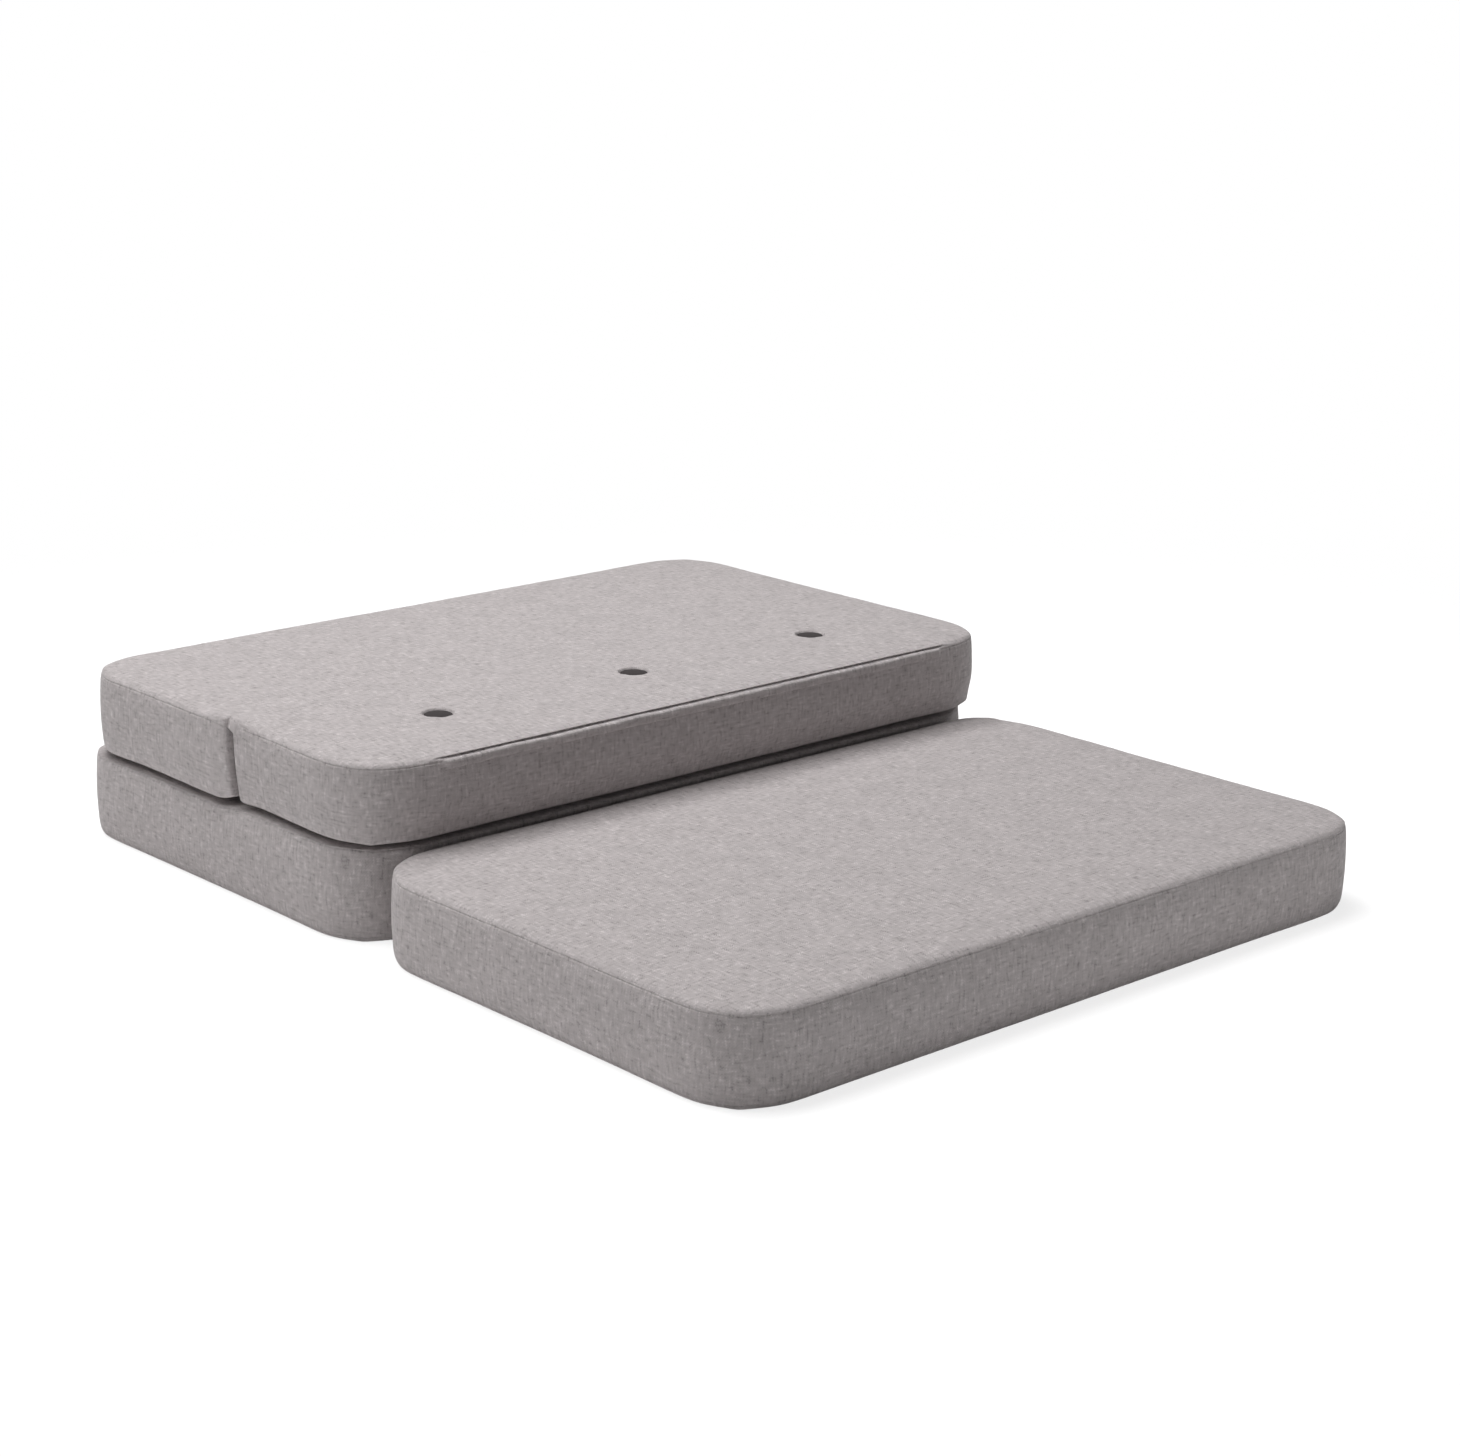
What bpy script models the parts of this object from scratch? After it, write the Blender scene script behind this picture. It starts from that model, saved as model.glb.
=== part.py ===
"""Folding foam sofa, closed: two foam layers stacked behind one that lies in front of them.

Every layer is a foam block in a zipped fabric cover. Sewn webs hinge the layers: one at the floor between
the front panel and the base, one behind between the base and the top layer, and one across the top layer,
whose slanted split parts a rear section from a front section with three tufting buttons.
The origin is on the floor at the middle of the sofa. X runs along it, Y to the rear and Z up.
"""
import math
from dataclasses import dataclass

import bmesh
import bpy
from mathutils import Vector

MM = 0.001

# Foam layers in their covers
PANEL_LENGTH = 1200 * MM
PANEL_DEPTH = 740 * MM
EDGE_HEIGHT = 123 * MM
CROWN = 6 * MM
CONTACT_CROWN = 3 * MM
CORNER_RADIUS = 100 * MM
EDGE_BAND = 22 * MM
SEAM_TUCK = 3 * MM
END_DRAW = 4 * MM
COVER_THICKNESS = 1.5 * MM
FIT_GAP = 0.3 * MM
FLOOR_CUT = 0.5 * MM
EDGE_CREASE_SHARE = 0.3
SPLIT_CREASE_SHARE = 0.6
CORNER_LOOP_SHARE = 0.5

# Foam block inside its cover
FOAM_SLACK = 1.5 * MM
FOAM_SIDE_SLACK = 5 * MM
FOAM_EDGE_DROP = 6 * MM
FOAM_EDGE_TUCK = 10 * MM
FOAM_CORNER_EXTRA = 6 * MM

# Top layer, which lies a little forward on the base, and the split across it
TOP_ADVANCE = 22 * MM
SPLIT_FROM_FRONT = 330 * MM
SPLIT_SLANT = 13 * MM
SPLIT_GAP = 3 * MM

# Sewn webs that act as hinges
WEB_THICKNESS = 0.9 * MM
WEB_HEIGHT = 50 * MM
REAR_WEB_HEIGHT = 30 * MM
REAR_WEB_BEND = 3.5 * MM
TOP_WEB_WIDTH = 45 * MM
TOP_WEB_END_MARGIN = 18 * MM
TOP_WEB_STATIONS = 8

# Tufting buttons, the twine through the foam and the discs that anchor it below
BUTTON_LINE = 172 * MM
BUTTON_SPACING = 354 * MM
BUTTON_RADIUS = 20 * MM
BUTTON_RIM_HEIGHT = 4 * MM
BUTTON_LIP_HEIGHT = 3.2 * MM
BUTTON_HEIGHT = 6.4 * MM
BUTTON_FOOT_RADIUS = 8 * MM
BUTTON_DOME_SHARES = ((0, 1), (0.45, 0.96), (0.8, 0.84))
DIMPLE_DEPTH = 8 * MM
DIMPLE_FLOOR = 20 * MM
DIMPLE_REACH = 44 * MM
FOAM_DIMPLE_FLOOR = 28 * MM
FOAM_DIMPLE_REACH = 56 * MM
TWINE_RADIUS = 1.2 * MM
TWINE_HOLE_RADIUS = 2 * MM
TWINE_CHANNEL_RADIUS = 3 * MM
ANCHOR_RADIUS = 15 * MM
ANCHOR_THICKNESS = 3 * MM

# Coil zips and their sliders, which have no pull tab
ZIP_END_MARGIN = 38 * MM
ZIP_SLOT_HEIGHT = 5 * MM
ZIP_TOP_DROP = 12 * MM
COIL_HEIGHT = 1.6 * MM
COIL_GAP = 1 * MM
COIL_SINK = 0.2 * MM
TAPE_WIDTH = 7 * MM
TAPE_THICKNESS = 0.6 * MM
SLIDER_LENGTH = 10 * MM
SLIDER_HEIGHT = 6 * MM
SLIDER_PLATE = 0.8 * MM
SLIDER_STEM = 0.5 * MM
SLIDER_END_GAP = 1 * MM

# Folded strip of cover cloth that hides the button section's zip
FLAP_SEAM_DROP = 1.5 * MM
FLAP_SHOULDER = 2 * MM
FLAP_DROP = 5 * MM
FLAP_STEPS = 4
FLAP_END_MARGIN = 10 * MM

CUT_OVERRUN = 5 * MM
MERGE_DISTANCE = 0.01 * MM
SAME_PLACE = 0.03 * MM
SQUARE_EDGE_SHARE = 0.5
SMOOTH_ANGLE = math.radians(40)
TURN_STEPS = 16
TWINE_STEPS = 8

# Places that follow from the sizes above
HINGE_GAP = 2 * (WEB_THICKNESS + 2 * FIT_GAP)
HALF_GAP = HINGE_GAP / 2
REAR_WEB_REACH = FIT_GAP + WEB_THICKNESS
FOLD_Y = -REAR_WEB_REACH / 2
BASE_FRONT = FOLD_Y + HALF_GAP
BASE_REAR = BASE_FRONT + PANEL_DEPTH
TOP_FRONT = BASE_FRONT - TOP_ADVANCE
TOP_REAR = TOP_FRONT + PANEL_DEPTH
STACK_Z = EDGE_HEIGHT + CONTACT_CROWN + FIT_GAP / 2
TOP_LAYER_Z = STACK_Z + FIT_GAP / 2 + CONTACT_CROWN
TOP_FACE_Z = TOP_LAYER_Z + EDGE_HEIGHT + CROWN
SPLIT_Y = TOP_FRONT + SPLIT_FROM_FRONT
FLAT_HALF_LENGTH = PANEL_LENGTH / 2 - CORNER_RADIUS
ZIP_LENGTH = 2 * (FLAT_HALF_LENGTH - ZIP_END_MARGIN)

FRONT_AXIS = Vector((0, FOLD_Y, -FIT_GAP))
REAR_AXIS = Vector((0, (BASE_REAR + TOP_REAR) / 2 + HALF_GAP, STACK_Z))
SECTION_AXIS = Vector((0, SPLIT_Y, TOP_FACE_Z + 2 * FIT_GAP + WEB_THICKNESS))

# Colours of the finishes
FABRIC_COLOUR = (0.52, 0.50, 0.49, 1)
FOAM_COLOUR = (0.86, 0.80, 0.62, 1)
WEB_COLOUR = (0.40, 0.385, 0.375, 1)
TAPE_COLOUR = (0.16, 0.155, 0.15, 1)
SLIDER_COLOUR = (0.24, 0.235, 0.23, 1)
BUTTON_COLOUR = (0.10, 0.092, 0.09, 1)
TWINE_COLOUR = (0.70, 0.68, 0.64, 1)
ANCHOR_COLOUR = (0.75, 0.75, 0.74, 1)


@dataclass
class Layer:
    """One foam layer: where it lies, which sides are rounded and which one is the slanted split."""

    name: str
    front: float
    rear: float
    lower_edge: float
    lower_crown: float
    upper_crown: float
    split: str = "none"

    @property
    def upper_edge(self):
        return self.lower_edge + EDGE_HEIGHT

    @property
    def depth(self):
        return self.rear - self.front

    @property
    def floor_cut(self):
        """How much of a layer that stands on the floor is cut away, to stand flat."""
        return 0 if self.lower_crown else FLOOR_CUT


BASE = Layer("base", BASE_FRONT, BASE_REAR, 0, 0, CONTACT_CROWN)
FRONT_PANEL = Layer("front_panel", FOLD_Y - HALF_GAP - PANEL_DEPTH, FOLD_Y - HALF_GAP, 0, 0, CROWN)
TOP_LEVELS = (TOP_LAYER_Z, CONTACT_CROWN, CROWN)
REAR_SECTION = Layer("rear_section", SPLIT_Y + SPLIT_GAP / 2, TOP_REAR, *TOP_LEVELS, "front")
BUTTON_SECTION = Layer("button_section", TOP_FRONT, SPLIT_Y - SPLIT_GAP / 2, *TOP_LEVELS, "rear")


def clear_scene():
    """Remove the objects that a new file opens with."""
    for old in list(bpy.data.objects):
        bpy.data.objects.remove(old, do_unlink=True)


def new_collection(name):
    collection = bpy.data.collections.new(name)
    bpy.context.scene.collection.children.link(collection)
    return collection


def new_material(name, colour, roughness, metallic=0):
    material = bpy.data.materials.new(name)
    material.use_nodes = True
    shader = material.node_tree.nodes["Principled BSDF"]
    shader.inputs["Base Color"].default_value = colour
    shader.inputs["Roughness"].default_value = roughness
    shader.inputs["Metallic"].default_value = metallic
    return material


def world_place(obj):
    """Where an unturned object lies, through all its parents."""
    return obj.location + world_place(obj.parent) if obj else Vector()


def add_object(name, data, place, parent=None, material=None, cutter=False):
    """Link an object at a world place, under the empty on its joint's axis."""
    obj = bpy.data.objects.new(name, data)
    obj.location = Vector(place) - world_place(parent)
    obj.parent = parent
    if cutter:
        CUTTERS.objects.link(obj)
        obj.hide_render = True
        obj.display_type = "WIRE"
    else:
        SOFA.objects.link(obj)
    if material:
        data.materials.append(material)
    return obj


def add_axis(name, place, parent=None):
    """An empty on a fold's axis, which carries all that turns with it."""
    empty = add_object(name, None, place, parent)
    empty.empty_display_size = PANEL_DEPTH
    return empty


def mesh_from(bm, name):
    mesh = bpy.data.meshes.new(name)
    bm.to_mesh(mesh)
    bm.free()
    return mesh


def box_mesh(name, size):
    """A box of this size about its own centre."""
    bm = bmesh.new()
    bmesh.ops.create_cube(bm, size=1)
    bmesh.ops.scale(bm, vec=Vector(size), verts=bm.verts)
    return mesh_from(bm, name)


def rod_mesh(name, radius, length, steps):
    """An upright round rod about its own centre."""
    bm = bmesh.new()
    bmesh.ops.create_cone(
        bm, cap_ends=True, segments=steps, radius1=radius, radius2=radius, depth=length
    )
    mesh = mesh_from(bm, name)
    mesh.shade_smooth()
    mesh.set_sharp_from_angle(angle=SMOOTH_ANGLE)
    return mesh


def subtract(obj, cutter):
    cut = obj.modifiers.new(cutter.name, "BOOLEAN")
    cut.operation = "DIFFERENCE"
    cut.solver = "EXACT"
    cut.object = cutter


def cut_box(obj, name, size, place):
    subtract(obj, add_object(name, box_mesh(name, size), place, obj.parent, cutter=True))


def cut_rod(obj, name, radius, low, high, middle, steps=TWINE_STEPS):
    """Cut an upright round hole between two heights, with its middle at an X and a Y."""
    rod = rod_mesh(name, radius, high - low, steps)
    subtract(obj, add_object(name, rod, (*middle, (low + high) / 2), obj.parent, cutter=True))


def crown_share(distance):
    """How much of the crown stands at a distance from the nearest seam."""
    left = max(0, 1 - distance / CORNER_RADIUS)
    return 1 - left * left


def layer_loops(layer):
    """Where the cage of a layer is cut along X, Y and Z."""
    half = PANEL_LENGTH / 2
    corner = CORNER_RADIUS
    mid = corner * CORNER_LOOP_SHARE
    inner_x = 2 * BUTTON_SPACING - (half - corner) if layer is BUTTON_SECTION else 0
    along_x = sorted({s * x for x in (half - mid, half - corner, inner_x) for s in (-1, 1)})
    along_y = []
    if layer.split != "front":
        along_y += [layer.front + mid, layer.front + corner]
    if layer.split != "rear":
        along_y += [layer.rear - corner, layer.rear - mid]
    if layer.split == "front":
        along_y.append(layer.front + EDGE_BAND)
    if layer.split == "rear":
        along_y.append(layer.front + 2 * BUTTON_LINE - corner)
    along_z = [layer.lower_edge + EDGE_BAND, layer.upper_edge - EDGE_BAND]
    return along_x, along_y, along_z


def layer_cage(layer, inset=0, edge_drop=0, edge_tuck=SEAM_TUCK, corner=CORNER_RADIUS):
    """The coarse closed cage of a layer, or of the foam block that lies inset in it.

    A box is cut into loops, its upright corners are rounded, its faces crowned, its sides left full between
    tucked seams, its ends drawn in between their corners and its split side slanted.
    """
    half = PANEL_LENGTH / 2
    front, rear = layer.front, layer.rear
    low, high = layer.lower_edge - layer.floor_cut, layer.upper_edge
    bm = bmesh.new()
    bmesh.ops.create_cube(bm, size=1)
    bmesh.ops.scale(bm, vec=Vector((PANEL_LENGTH, layer.depth, high - low)), verts=bm.verts)
    middle = Vector((0, (front + rear) / 2, (low + high) / 2))
    bmesh.ops.translate(bm, vec=middle, verts=bm.verts)
    for axis, cuts in enumerate(layer_loops(layer)):
        normal = Vector([axis == i for i in range(3)])
        for cut in cuts:
            everything = bm.verts[:] + bm.edges[:] + bm.faces[:]
            bmesh.ops.bisect_plane(bm, geom=everything, plane_co=normal * cut, plane_no=normal)
    crease_seams(bm, layer)

    split_y = {"front": front, "rear": rear, "none": None}[layer.split]
    for vert in bm.verts:
        x, y, z = vert.co
        on_top = z > high - SAME_PLACE
        on_bottom = z < low + SAME_PLACE
        to_front = y - front if layer.split != "front" else layer.depth
        to_rear = rear - y if layer.split != "rear" else layer.depth
        seam_distance = min(half - abs(x), to_front, to_rear)
        draw = inset + (edge_tuck if on_top or on_bottom else 0)
        new_x, new_y = rounded_plan(x, y, layer, draw, corner)
        if abs(x) > half - SAME_PLACE:
            new_x -= math.copysign(end_draw(y, layer), x)
        if on_top:
            rise = layer.upper_crown * crown_share(seam_distance)
            at_seam = seam_distance < SAME_PLACE
            z = high + rise - (edge_drop if at_seam else inset and COVER_THICKNESS + FOAM_SLACK)
        elif on_bottom:
            rise = layer.lower_crown * crown_share(seam_distance)
            at_seam = seam_distance < SAME_PLACE
            slack = FOAM_SLACK if layer.lower_crown else FIT_GAP
            z = low - rise + (edge_drop if at_seam else inset and COVER_THICKNESS + slack)
        if split_y is not None:
            from_split = abs(y - split_y)
            lean = max(0, 1 - from_split / (layer.depth - CORNER_RADIUS))
            new_y -= SPLIT_SLANT * lean * min(1, max(0, (high - z) / EDGE_HEIGHT))
            if inset and from_split < SAME_PLACE:
                new_y += inset if layer.split == "front" else -inset
        vert.co = (new_x, new_y, z)
    return bm


def rounded_plan(x, y, layer, draw, corner):
    """Move a point of the box's plan onto the rounded outline, drawn in by a distance."""
    half = PANEL_LENGTH / 2
    side = math.copysign(1, x)
    square = CORNER_RADIUS
    small = FIT_GAP / square
    along = (abs(x) - (half - square)) / square
    across, side_y, sign = 0, y, 0
    if layer.split != "front" and y < layer.front + square + FIT_GAP:
        across, side_y, sign = (layer.front + square - y) / square, layer.front, -1
    elif layer.split != "rear" and y > layer.rear - square - FIT_GAP:
        across, side_y, sign = (y - layer.rear + square) / square, layer.rear, 1
    if along > -small and across > -small and sign:
        disc_x = along * math.sqrt(1 - across * across / 2)
        disc_y = across * math.sqrt(1 - along * along / 2)
        centre_x = half - draw - corner
        centre_y = side_y - sign * (draw + corner)
        return side * (centre_x + disc_x * corner), centre_y + sign * disc_y * corner
    if across > 1 - small:
        return x, side_y - sign * draw
    return side * (half - draw) if along > 1 - small else x, y


def end_draw(y, layer):
    """How far an end of the whole layer is drawn in at a place between its corners."""
    whole_front = layer.rear - PANEL_DEPTH if layer.split == "front" else layer.front
    from_middle = y - whole_front - PANEL_DEPTH / 2
    share = from_middle / (PANEL_DEPTH / 2 - CORNER_RADIUS)
    return END_DRAW * max(0, 1 - share * share)


def crease_seams(bm, layer):
    """Crease the box's long edges, which become the seams, and the upright ones beside the split."""
    crease = bm.edges.layers.float.new("crease_edge")
    split_y = {"front": layer.front, "rear": layer.rear, "none": None}[layer.split]
    for edge in bm.edges:
        first, second = edge.link_faces
        if first.normal.dot(second.normal) > SQUARE_EDGE_SHARE:
            continue
        upright = abs(edge.verts[0].co.z - edge.verts[1].co.z) > FIT_GAP
        y = (edge.verts[0].co.y + edge.verts[1].co.y) / 2
        by_split = split_y is not None and abs(y - split_y) < FIT_GAP
        if by_split:
            edge[crease] = SPLIT_CREASE_SHARE
        elif not upright:
            edge[crease] = EDGE_CREASE_SHARE


def add_tufts(bm, layer, rim_reach, floor_reach, level, rim_sink=0):
    """Sink the top face round each button: a rim at the face's level, and a small floor below it."""
    centre_y = layer.front + BUTTON_LINE
    for x in button_places():
        top = [f for f in bm.faces if f.calc_center_median().z > layer.upper_edge - COVER_THICKNESS]
        face = min(top, key=lambda f: (f.calc_center_median().xy - Vector((x, centre_y))).length)
        for reach, sink in ((rim_reach, rim_sink), (floor_reach, DIMPLE_DEPTH)):
            bmesh.ops.inset_individual(bm, faces=[face], thickness=FIT_GAP)
            for vert in face.verts:
                vert.co.x = x + math.copysign(reach, vert.co.x - x)
                vert.co.y = centre_y + math.copysign(reach, vert.co.y - centre_y)
                vert.co.z = level - sink


def button_places():
    return [index * BUTTON_SPACING for index in (-1, 0, 1)]


def smoothed_bounds(obj):
    """Lowest and highest corner of an object's mesh as its modifiers leave it."""
    bpy.context.view_layer.update()
    evaluated = obj.evaluated_get(bpy.context.evaluated_depsgraph_get())
    points = [v.co.copy() for v in evaluated.data.vertices]
    low = Vector([min(p[i] for p in points) for i in range(3)])
    high = Vector([max(p[i] for p in points) for i in range(3)])
    return low, high


def fit_cage(obj):
    """Stretch the cage so that its smoothed surface fills the box that the cage filled."""
    cage = [v.co.copy() for v in obj.data.vertices]
    want_low = Vector([min(p[i] for p in cage) for i in range(3)])
    want_high = Vector([max(p[i] for p in cage) for i in range(3)])
    low, high = smoothed_bounds(obj)
    for vert in obj.data.vertices:
        for i in range(3):
            share = (vert.co[i] - low[i]) / (high[i] - low[i])
            vert.co[i] = want_low[i] + share * (want_high[i] - want_low[i])


def add_carried(name, bm, parent, material):
    """Make an object of a mesh drawn at its world place, with its origin on its parent's axis."""
    place = world_place(parent)
    bmesh.ops.translate(bm, vec=-place, verts=bm.verts)
    return add_object(name, mesh_from(bm, name), place, parent, material)


def build_cover(layer, parent):
    """The fabric cover: a smoothed cage given the cloth's thickness inwards, flat where it stands."""
    bm = layer_cage(layer)
    if layer is BUTTON_SECTION:
        add_tufts(bm, layer, DIMPLE_REACH, DIMPLE_FLOOR, TOP_FACE_Z)
    cover = add_carried(layer.name + "_cover", bm, parent, FABRIC)
    smooth = cover.modifiers.new("smooth", "SUBSURF")
    smooth.levels = 1
    smooth.render_levels = 1
    fit_cage(cover)
    cover.data.shade_smooth()
    cloth = cover.modifiers.new("cloth", "SOLIDIFY")
    cloth.thickness = COVER_THICKNESS
    cloth.offset = -1
    cloth.use_even_offset = True
    if layer.floor_cut:
        size = (PANEL_LENGTH + CUT_OVERRUN, layer.depth + CUT_OVERRUN, 2 * CUT_OVERRUN)
        middle_y = (layer.front + layer.rear) / 2
        cut_box(cover, layer.name + "_floor_cut", size, (0, middle_y, -CUT_OVERRUN))
    return cover


def build_foam(layer, parent):
    """The foam block, a little smaller than the inside of its cover."""
    inset = COVER_THICKNESS + FOAM_SIDE_SLACK
    corner = CORNER_RADIUS + FOAM_CORNER_EXTRA
    bm = layer_cage(layer, inset, FOAM_EDGE_DROP, FOAM_EDGE_TUCK, corner)
    if layer is BUTTON_SECTION:
        level = TOP_FACE_Z - COVER_THICKNESS - FOAM_SLACK
        add_tufts(bm, layer, FOAM_DIMPLE_REACH, FOAM_DIMPLE_FLOOR, level, FOAM_SLACK)
    return add_carried(layer.name + "_foam", bm, parent, FOAM)


def strip_outline(path, thickness):
    """Outline of a strip of even thickness along a bent path."""
    path = [Vector(point) for point in path]
    runs = [(after - before).normalized() for before, after in zip(path, path[1:])]
    left, right = [], []
    for point, arriving, leaving in zip(path, runs[:1] + runs, runs + runs[-1:]):
        along = (arriving + leaving).normalized()
        across = Vector((-along.y, along.x)) * thickness / 2 / along.dot(leaving)
        left.append(point + across)
        right.append(point - across)
    return left + right[::-1]


def outline_object(name, points, length, place, parent, material, drawn_along="X"):
    """A flat outline, drawn out about its own middle: one in YZ along X, or one in XZ along Y."""
    curve = bpy.data.curves.new(name, "CURVE")
    curve.dimensions = "2D"
    curve.fill_mode = "BOTH"
    curve.extrude = length / 2
    spline = curve.splines.new("POLY")
    spline.points.add(len(points) - 1)
    for point, (y, z) in zip(spline.points, points):
        point.co = (y, z, 0, 1)
    spline.use_cyclic_u = True
    obj = add_object(name, curve, place, parent, material)
    obj.rotation_euler = (math.pi / 2, 0, math.pi / 2 if drawn_along == "X" else 0)
    return obj


def surface_from(cover, start, direction):
    """World point where a ray first meets a cover."""
    bpy.context.view_layer.update()
    evaluated = cover.evaluated_get(bpy.context.evaluated_depsgraph_get())
    place = world_place(cover)
    hit, where, _, _ = evaluated.ray_cast(start - place, direction)
    return where + place if hit else start


def side_reaches(cover, outward, z, half_height):
    """How far along Y, outwards, a cover's long side reaches over a band: least and most."""
    out = Vector((0, outward, 0))
    found = []
    for x in (-ZIP_LENGTH / 2, 0, ZIP_LENGTH / 2):
        for height in (z - half_height, z, z + half_height):
            start = Vector((x, 0, height)) + out * (2 * PANEL_DEPTH)
            found.append(surface_from(cover, start, -out).y * outward)
    return min(found), max(found)


def seat_height(cover, x, y):
    """Highest level of a cover's top face under the foot of a button."""
    down = Vector((0, 0, -1))
    middle = Vector((x, y, TOP_FACE_Z + CUT_OVERRUN))
    turns = [2 * math.pi * step / TURN_STEPS for step in range(TURN_STEPS)]
    rim = [BUTTON_FOOT_RADIUS * Vector((math.cos(a), math.sin(a), 0)) for a in turns]
    return max(surface_from(cover, middle + offset, down).z for offset in [Vector()] + rim)


def build_zip(layer, cover, foam, outward, z):
    """Slot, two taped coils and slider of a zip in a long side, outward being +1 or -1 along Y."""
    innermost, _ = side_reaches(cover, outward, z, TAPE_WIDTH)
    _, outermost = side_reaches(cover, outward, z, SLIDER_HEIGHT)
    face_y = outward * innermost
    plate_outer = outermost - innermost + FIT_GAP
    tape_outer = -COVER_THICKNESS - FIT_GAP
    tape_inner = tape_outer - TAPE_THICKNESS
    coil_low = COIL_GAP / 2
    coil_high = coil_low + COIL_HEIGHT
    parent = cover.parent
    place = Vector((0, face_y, z))
    slot_depth = 2 * (COVER_THICKNESS + CUT_OVERRUN)
    cut_box(cover, layer.name + "_zip_slot", (ZIP_LENGTH, slot_depth, ZIP_SLOT_HEIGHT), place)
    plate_inner = tape_inner - FIT_GAP - SLIDER_PLATE
    relief_depth = 2 * (FIT_GAP - plate_inner)
    relief_height = 2 * (TAPE_WIDTH + FIT_GAP)
    cut_box(foam, layer.name + "_zip_relief", (ZIP_LENGTH, relief_depth, relief_height), place)

    half_outline = [
        (tape_inner, coil_low),
        (-COIL_SINK, coil_low),
        (-COIL_SINK, coil_high),
        (tape_outer, coil_high),
        (tape_outer, TAPE_WIDTH),
        (tape_inner, TAPE_WIDTH),
    ]
    for side, up in (("upper", 1), ("lower", -1)):
        points = [(outward * depth, up * height) for depth, height in half_outline]
        name = layer.name + "_zip_" + side + "_tape"
        outline_object(name, points, ZIP_LENGTH - 2 * SLIDER_END_GAP, place, parent, TAPE)

    plate_high = SLIDER_HEIGHT / 2
    stem_high = SLIDER_STEM / 2
    upper_side = [
        (plate_outer + SLIDER_PLATE, plate_high),
        (plate_outer, plate_high),
        (plate_outer, stem_high),
        (tape_inner - FIT_GAP, stem_high),
        (tape_inner - FIT_GAP, plate_high),
        (plate_inner, plate_high),
    ]
    lower_side = [(depth, -height) for depth, height in reversed(upper_side)]
    points = [(outward * depth, height) for depth, height in upper_side + lower_side]
    closed_x = ZIP_LENGTH / 2 - SLIDER_END_GAP - SLIDER_LENGTH / 2
    slider_place = place + Vector((closed_x, 0, 0))
    outline_object(layer.name + "_zip_slider", points, SLIDER_LENGTH, slider_place, parent, SLIDER)


def build_zip_flap(layer, cover, outward, z):
    """The folded strip that hangs from the upper seam over a zip, clear of its slider."""
    seam_z = layer.upper_edge - FLAP_SEAM_DROP
    shoulder_z = z + SLIDER_HEIGHT / 2 + FLAP_SHOULDER
    path = []
    for step in range(FLAP_STEPS):
        level = seam_z + (shoulder_z - seam_z) * step / FLAP_STEPS
        _, reach = side_reaches(cover, outward, level, FIT_GAP)
        path.append((outward * (reach + FIT_GAP + COVER_THICKNESS / 2), level))
    _, at_zip = side_reaches(cover, outward, z, SLIDER_HEIGHT)
    hang_y = outward * (at_zip + FIT_GAP + SLIDER_PLATE + FIT_GAP + COVER_THICKNESS / 2)
    path += [(hang_y, shoulder_z), (hang_y, z - FLAP_DROP)]
    length = ZIP_LENGTH + 2 * FLAP_END_MARGIN
    points = strip_outline(path, COVER_THICKNESS)
    outline_object(layer.name + "_zip_flap", points, length, (0, 0, 0), cover.parent, FABRIC)


def build_layer(layer, parent, zip_side, zip_z):
    """Cover, foam block and zip of one layer."""
    cover = build_cover(layer, parent)
    foam = build_foam(layer, parent)
    build_zip(layer, cover, foam, zip_side, zip_z)
    return cover, foam


def add_web(name, size, place, parent):
    return add_object(name, box_mesh(name, size), place, parent, WEB)


def build_webs(base, front, rear, section, covers):
    """The sewn webs, each in two halves that meet at the axis they fold about."""
    length = 2 * FLAT_HALF_LENGTH
    from_axis = FIT_GAP + WEB_THICKNESS / 2
    upright = (length, WEB_THICKNESS, WEB_HEIGHT)
    add_web("front_web_panel_half", upright, (0, FOLD_Y - from_axis, WEB_HEIGHT / 2), front)
    add_web("front_web_base_half", upright, (0, FOLD_Y + from_axis, WEB_HEIGHT / 2), base)

    bend_z = REAR_AXIS.z - 2 * FIT_GAP
    lower = Vector((BASE_REAR + from_axis, bend_z - REAR_WEB_BEND))
    upper = Vector((TOP_REAR + from_axis, bend_z + REAR_WEB_BEND))
    apart = (upper - lower).normalized() * FIT_GAP
    meeting = (lower + upper) / 2
    base_path = [(lower.x, EDGE_HEIGHT - REAR_WEB_HEIGHT), lower, meeting - apart]
    section_path = [meeting + apart, upper, (upper.x, TOP_LAYER_Z + REAR_WEB_HEIGHT)]
    for name, path, parent in (("base", base_path, base), ("section", section_path, rear)):
        points = strip_outline(path, WEB_THICKNESS)
        outline_object("rear_web_" + name + "_half", points, length, (0, 0, 0), parent, WEB)
    build_top_web(rear, section, covers)


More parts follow.
